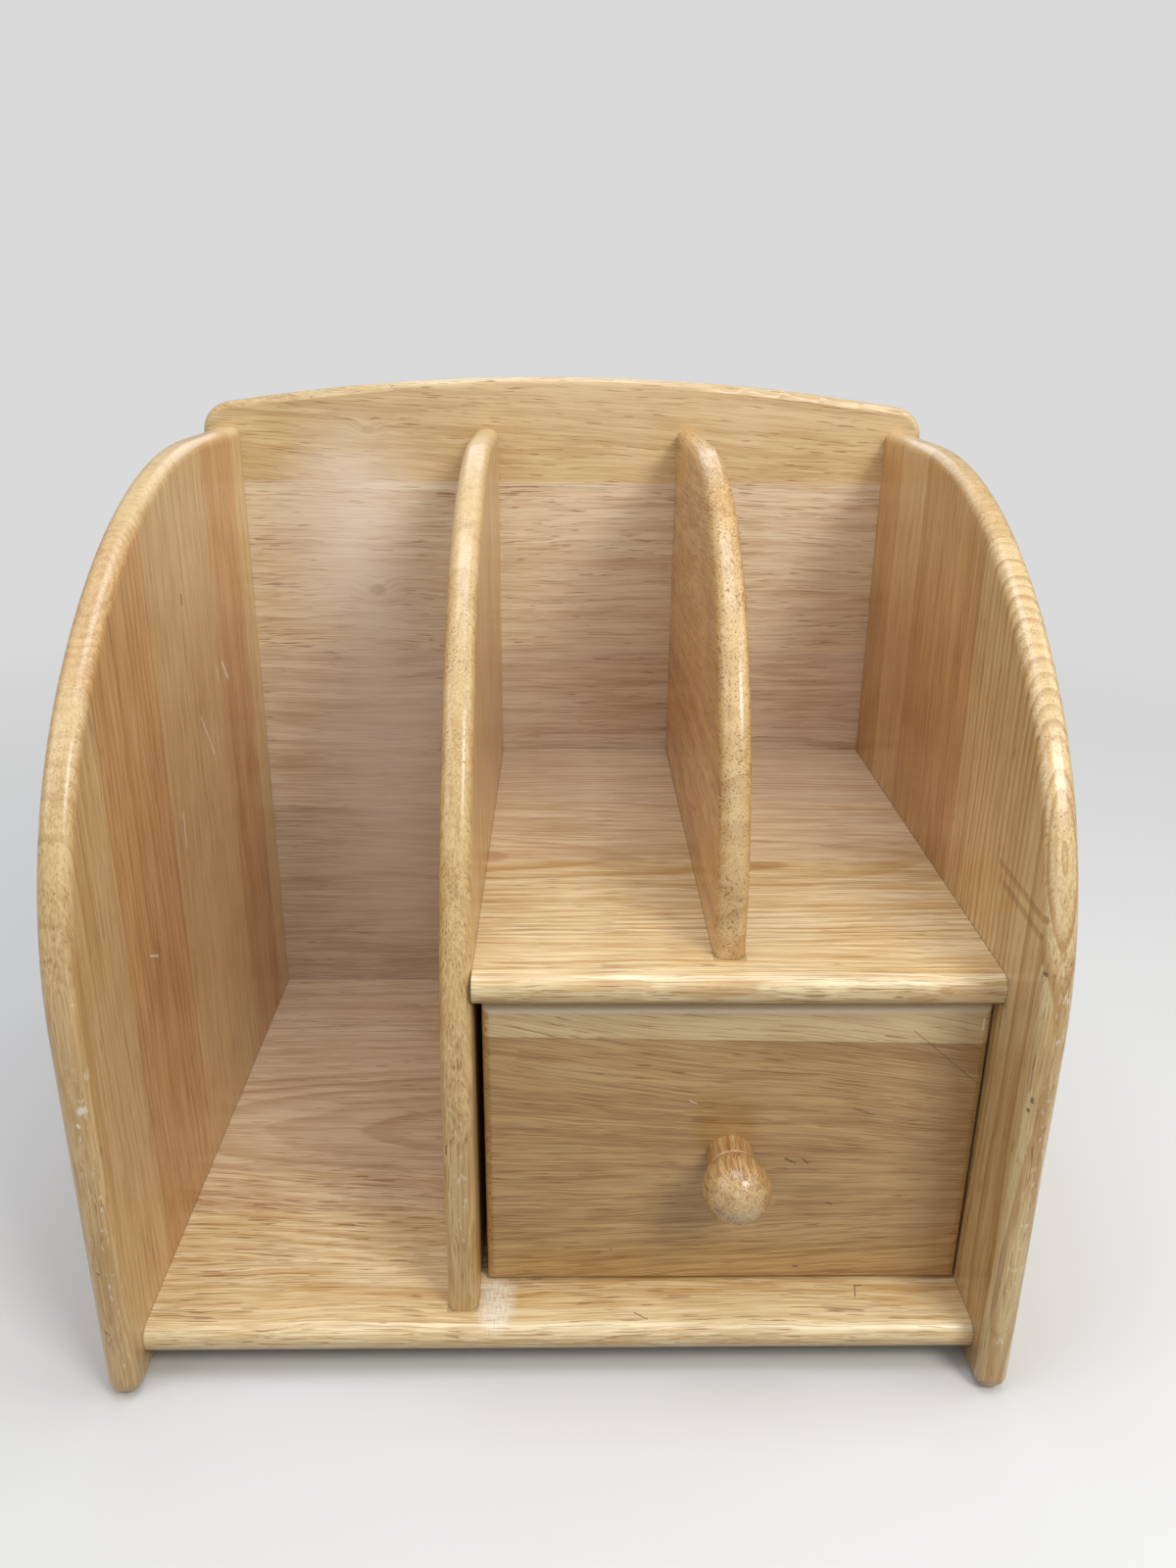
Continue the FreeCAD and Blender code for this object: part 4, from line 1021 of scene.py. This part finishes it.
def screw_tree():
    """A tree that sets one screw at each point, its head facing the way the point says."""
    tree = bpy.data.node_groups.new("wood_screws", "GeometryNodeTree")
    for name, kind, value in SCREW_INPUTS:
        socket = tree.interface.new_socket(name, in_out="INPUT", socket_type=kind)
        if value is not None:
            socket.default_value = value
    tree.interface.new_socket("Screws", in_out="OUTPUT", socket_type="NodeSocketGeometry")
    start = Wire(tree)
    given = start.node("NodeGroupInput")
    inputs = {name: given.also(name) for name, kind, value in SCREW_INPUTS}
    screw = cross_recess(one_screw(start, inputs), inputs)
    faces = start.node("GeometryNodeInputNamedAttribute", {"data_type": "FLOAT_VECTOR"}, {"Name": "faces"})
    turned = start.node("FunctionNodeAlignRotationToVector", {"axis": "Z"}, {"Vector": faces})
    copies = start.node("GeometryNodeInstanceOnPoints", None,
                        {"Points": inputs["Places"], "Instance": screw, "Rotation": turned})
    spin = start.node("FunctionNodeRandomValue", {"data_type": "FLOAT"},
                      {2: 0.0, 3: radians(360), "Seed": SPIN_SEED}, 1)
    copies = start.node("GeometryNodeRotateInstances", None,
                        {"Instances": copies, "Rotation": spin.join(0.0, 0.0, spin), "Local Space": True})
    real = start.node("GeometryNodeRealizeInstances", None, {"Geometry": copies})
    plated = start.node("GeometryNodeSetMaterial", None, {"Geometry": real, "Material": inputs["Steel"]})
    out = tree.nodes.new("NodeGroupOutput")
    tree.links.new(plated.socket, out.inputs["Screws"])
    return tree


wood_screws = screw_tree()
print("screw tree with", len(wood_screws.nodes), "nodes")

# %% Screws on each body
def driven_screws(name, seats, values):
    """One plain mesh of screws at these seats."""
    mesh = bpy.data.meshes.new(name + "_seats")
    mesh.from_pydata([seat for seat, faces in seats], [], [])
    ways = mesh.attributes.new("faces", "FLOAT_VECTOR", "POINT")
    for number, (seat, faces) in enumerate(seats):
        ways.data[number].vector = faces
    screws = bpy.data.objects.new(name, mesh)
    bpy.context.scene.collection.objects.link(screws)
    modifier = screws.modifiers.new("wood_screws", "NODES")
    modifier.node_group = wood_screws
    for socket in wood_screws.interface.items_tree:
        if socket.in_out == "INPUT" and socket.name in values:
            modifier[socket.identifier] = values[socket.name]
    ready = screws.evaluated_get(bpy.context.evaluated_depsgraph_get())
    driven = bpy.data.meshes.new_from_object(ready)
    screws.modifiers.remove(modifier)
    driven.materials.clear()
    driven.materials.append(values["Steel"])
    driven.polygons.foreach_set("material_index", [0] * len(driven.polygons))
    driven.name = name
    screws.data = driven
    print(name, len(seats), "screws,", len(driven.polygons), "faces")
    return screws


carcass_screws = driven_screws("carcass_screws", carcass_seats, {"Length": screw_length, "Steel": steel})
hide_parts("back_panel_screws", "centre_divider_screws", "letter_divider_screws")
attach(carcass_screws, "carcass")
knob_fixing = driven_screws("knob_fixing", [(knob_seats[0], BACKWARD)], {
    "Length": knob_screw_length, "Turns": 14, "Dome": 1.0, "Head radius": 0.0036,
    "Head height": 0.0022, "Plain length": 0.006, "Steel": steel})
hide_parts("knob_screw")
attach(knob_fixing, "drawer")

# %% [markdown]
# ## Floor and light
# A large pale floor fades into the background with distance, so that no horizon shows.
# Only the camera, mirrors and glass see it pale: for light that bounces it is dark grey,
# because a white floor would light the sorter from below. Six soft lamps hang at one
# distance from the sorter, each named by the place it would have in a room.

# %% The floor
FLOOR_HALF = 8.0                # metres
BACKDROP = colour("DADADA")
FLOOR_SEEN = colour("E2E1DE")
FLOOR_BOUNCE = colour("5E5A56")
FLOOR_ROUGH = 0.7
FADE = (0.3, 1.3)               # metres from the sorter: where the fade starts and ends


def seen_rays(wire):
    """1 for rays that show the surface itself: from the camera, a gloss or a glass."""
    ray = wire.node("ShaderNodeLightPath", output="Is Camera Ray")
    shown = ray + ray.also("Is Glossy Ray") + ray.also("Is Transmission Ray")
    return shown.math("MINIMUM", shown, 1.0)


mesh = bpy.data.meshes.new("floor")
mesh.from_pydata([(x * FLOOR_HALF, y * FLOOR_HALF, 0.0) for x, y in ((-1, -1), (1, -1), (1, 1), (-1, 1))],
                 [], [(0, 1, 2, 3)])
floor = bpy.data.objects.new("floor", mesh)
bpy.context.scene.collection.objects.link(floor)
floor_paint, paint, floor_shader = new_finish("pale_floor")
grey = paint.node("ShaderNodeRGB")
grey.socket.default_value = FLOOR_BOUNCE
links = floor_paint.node_tree.links
links.new(grey.mix(seen_rays(paint), FLOOR_SEEN).socket, floor_shader.inputs["Base Color"])
floor_shader.inputs["Roughness"].default_value = FLOOR_ROUGH
floor.data.materials.append(floor_paint)
fade = paint.node("ShaderNodeTexCoord", output="Object")
reach = fade.node("ShaderNodeVectorMath", {"operation": "LENGTH"}, {0: fade}, "Value")
far_air = paint.node("ShaderNodeEmission", None, {"Color": BACKDROP, "Strength": 1.0})
blend = paint.node("ShaderNodeMixShader", None, {0: reach.ramp(*FADE) * seen_rays(paint), 2: far_air})
links.new(floor_shader.outputs["BSDF"], blend.socket.node.inputs[1])
output = [item for item in floor_paint.node_tree.nodes if item.type == "OUTPUT_MATERIAL"][0]
links.new(blend.socket, output.inputs["Surface"])
print("floor", 2 * FLOOR_HALF, "m across, with", len(floor_paint.node_tree.nodes), "nodes in its paint")

# %% The lamps
LAMP_DISTANCE = 1.4             # metres
MIDDLE = Vector((0.0, 0.0, 0.17))       # metres: what the lamps aim at


def lamp(name, turn, lift, size, power, tint):
    """A square lamp aimed at the sorter, turned from the front to the right and lifted."""
    turn, lift = radians(turn), radians(lift)
    away = Vector((sin(turn) * cos(lift), -cos(turn) * cos(lift), sin(lift)))
    data = bpy.data.lights.new(name, "AREA")
    data.shape = "SQUARE"
    data.size = size
    data.energy = power
    data.color = tint
    item = bpy.data.objects.new(name, data)
    item.location = MIDDLE + away * LAMP_DISTANCE
    item.rotation_euler = (-away).to_track_quat("-Z", "Y").to_euler()
    bpy.context.scene.collection.objects.link(item)


lamp("window", 35, 42, 0.40, 8.0, (1.0, 0.98, 0.90))
lamp("right_wall", 85, 38, 0.80, 4.2, (1.0, 1.0, 0.96))
lamp("ceiling", 0, 88, 0.80, 7.6, (0.90, 1.0, 1.20))
lamp("left_wall", -60, 38, 0.80, 4.0, (1.0, 0.98, 0.95))
lamp("low_front", 5, 14, 0.60, 1.35, (0.96, 1.0, 1.08))
lamp("back_wall", 180, 35, 0.80, 2.4, (1.0, 1.0, 1.0))
watts = [light.energy for light in bpy.data.lights]
print(len(watts), "lamps,", round(sum(watts), 1), "watts in all")

# %% The air around
AIR = (0.31, 0.31, 0.315, 1.0)  # dim, so that corners stay dark
world = bpy.data.worlds.new("studio")
world.use_nodes = True
bpy.context.scene.world = world
world.node_tree.nodes.clear()
sky = Wire(world.node_tree)
air = sky.node("ShaderNodeRGB")
air.socket.default_value = AIR
ray = sky.node("ShaderNodeLightPath", output="Is Camera Ray")
glow = sky.node("ShaderNodeBackground", None, {"Color": air.mix(ray, BACKDROP), "Strength": 1.0})
out = world.node_tree.nodes.new("ShaderNodeOutputWorld")
world.node_tree.links.new(glow.socket, out.inputs["Surface"])
print("the air gives", AIR[:3], "and shows as", [round(c, 2) for c in BACKDROP[:3]])
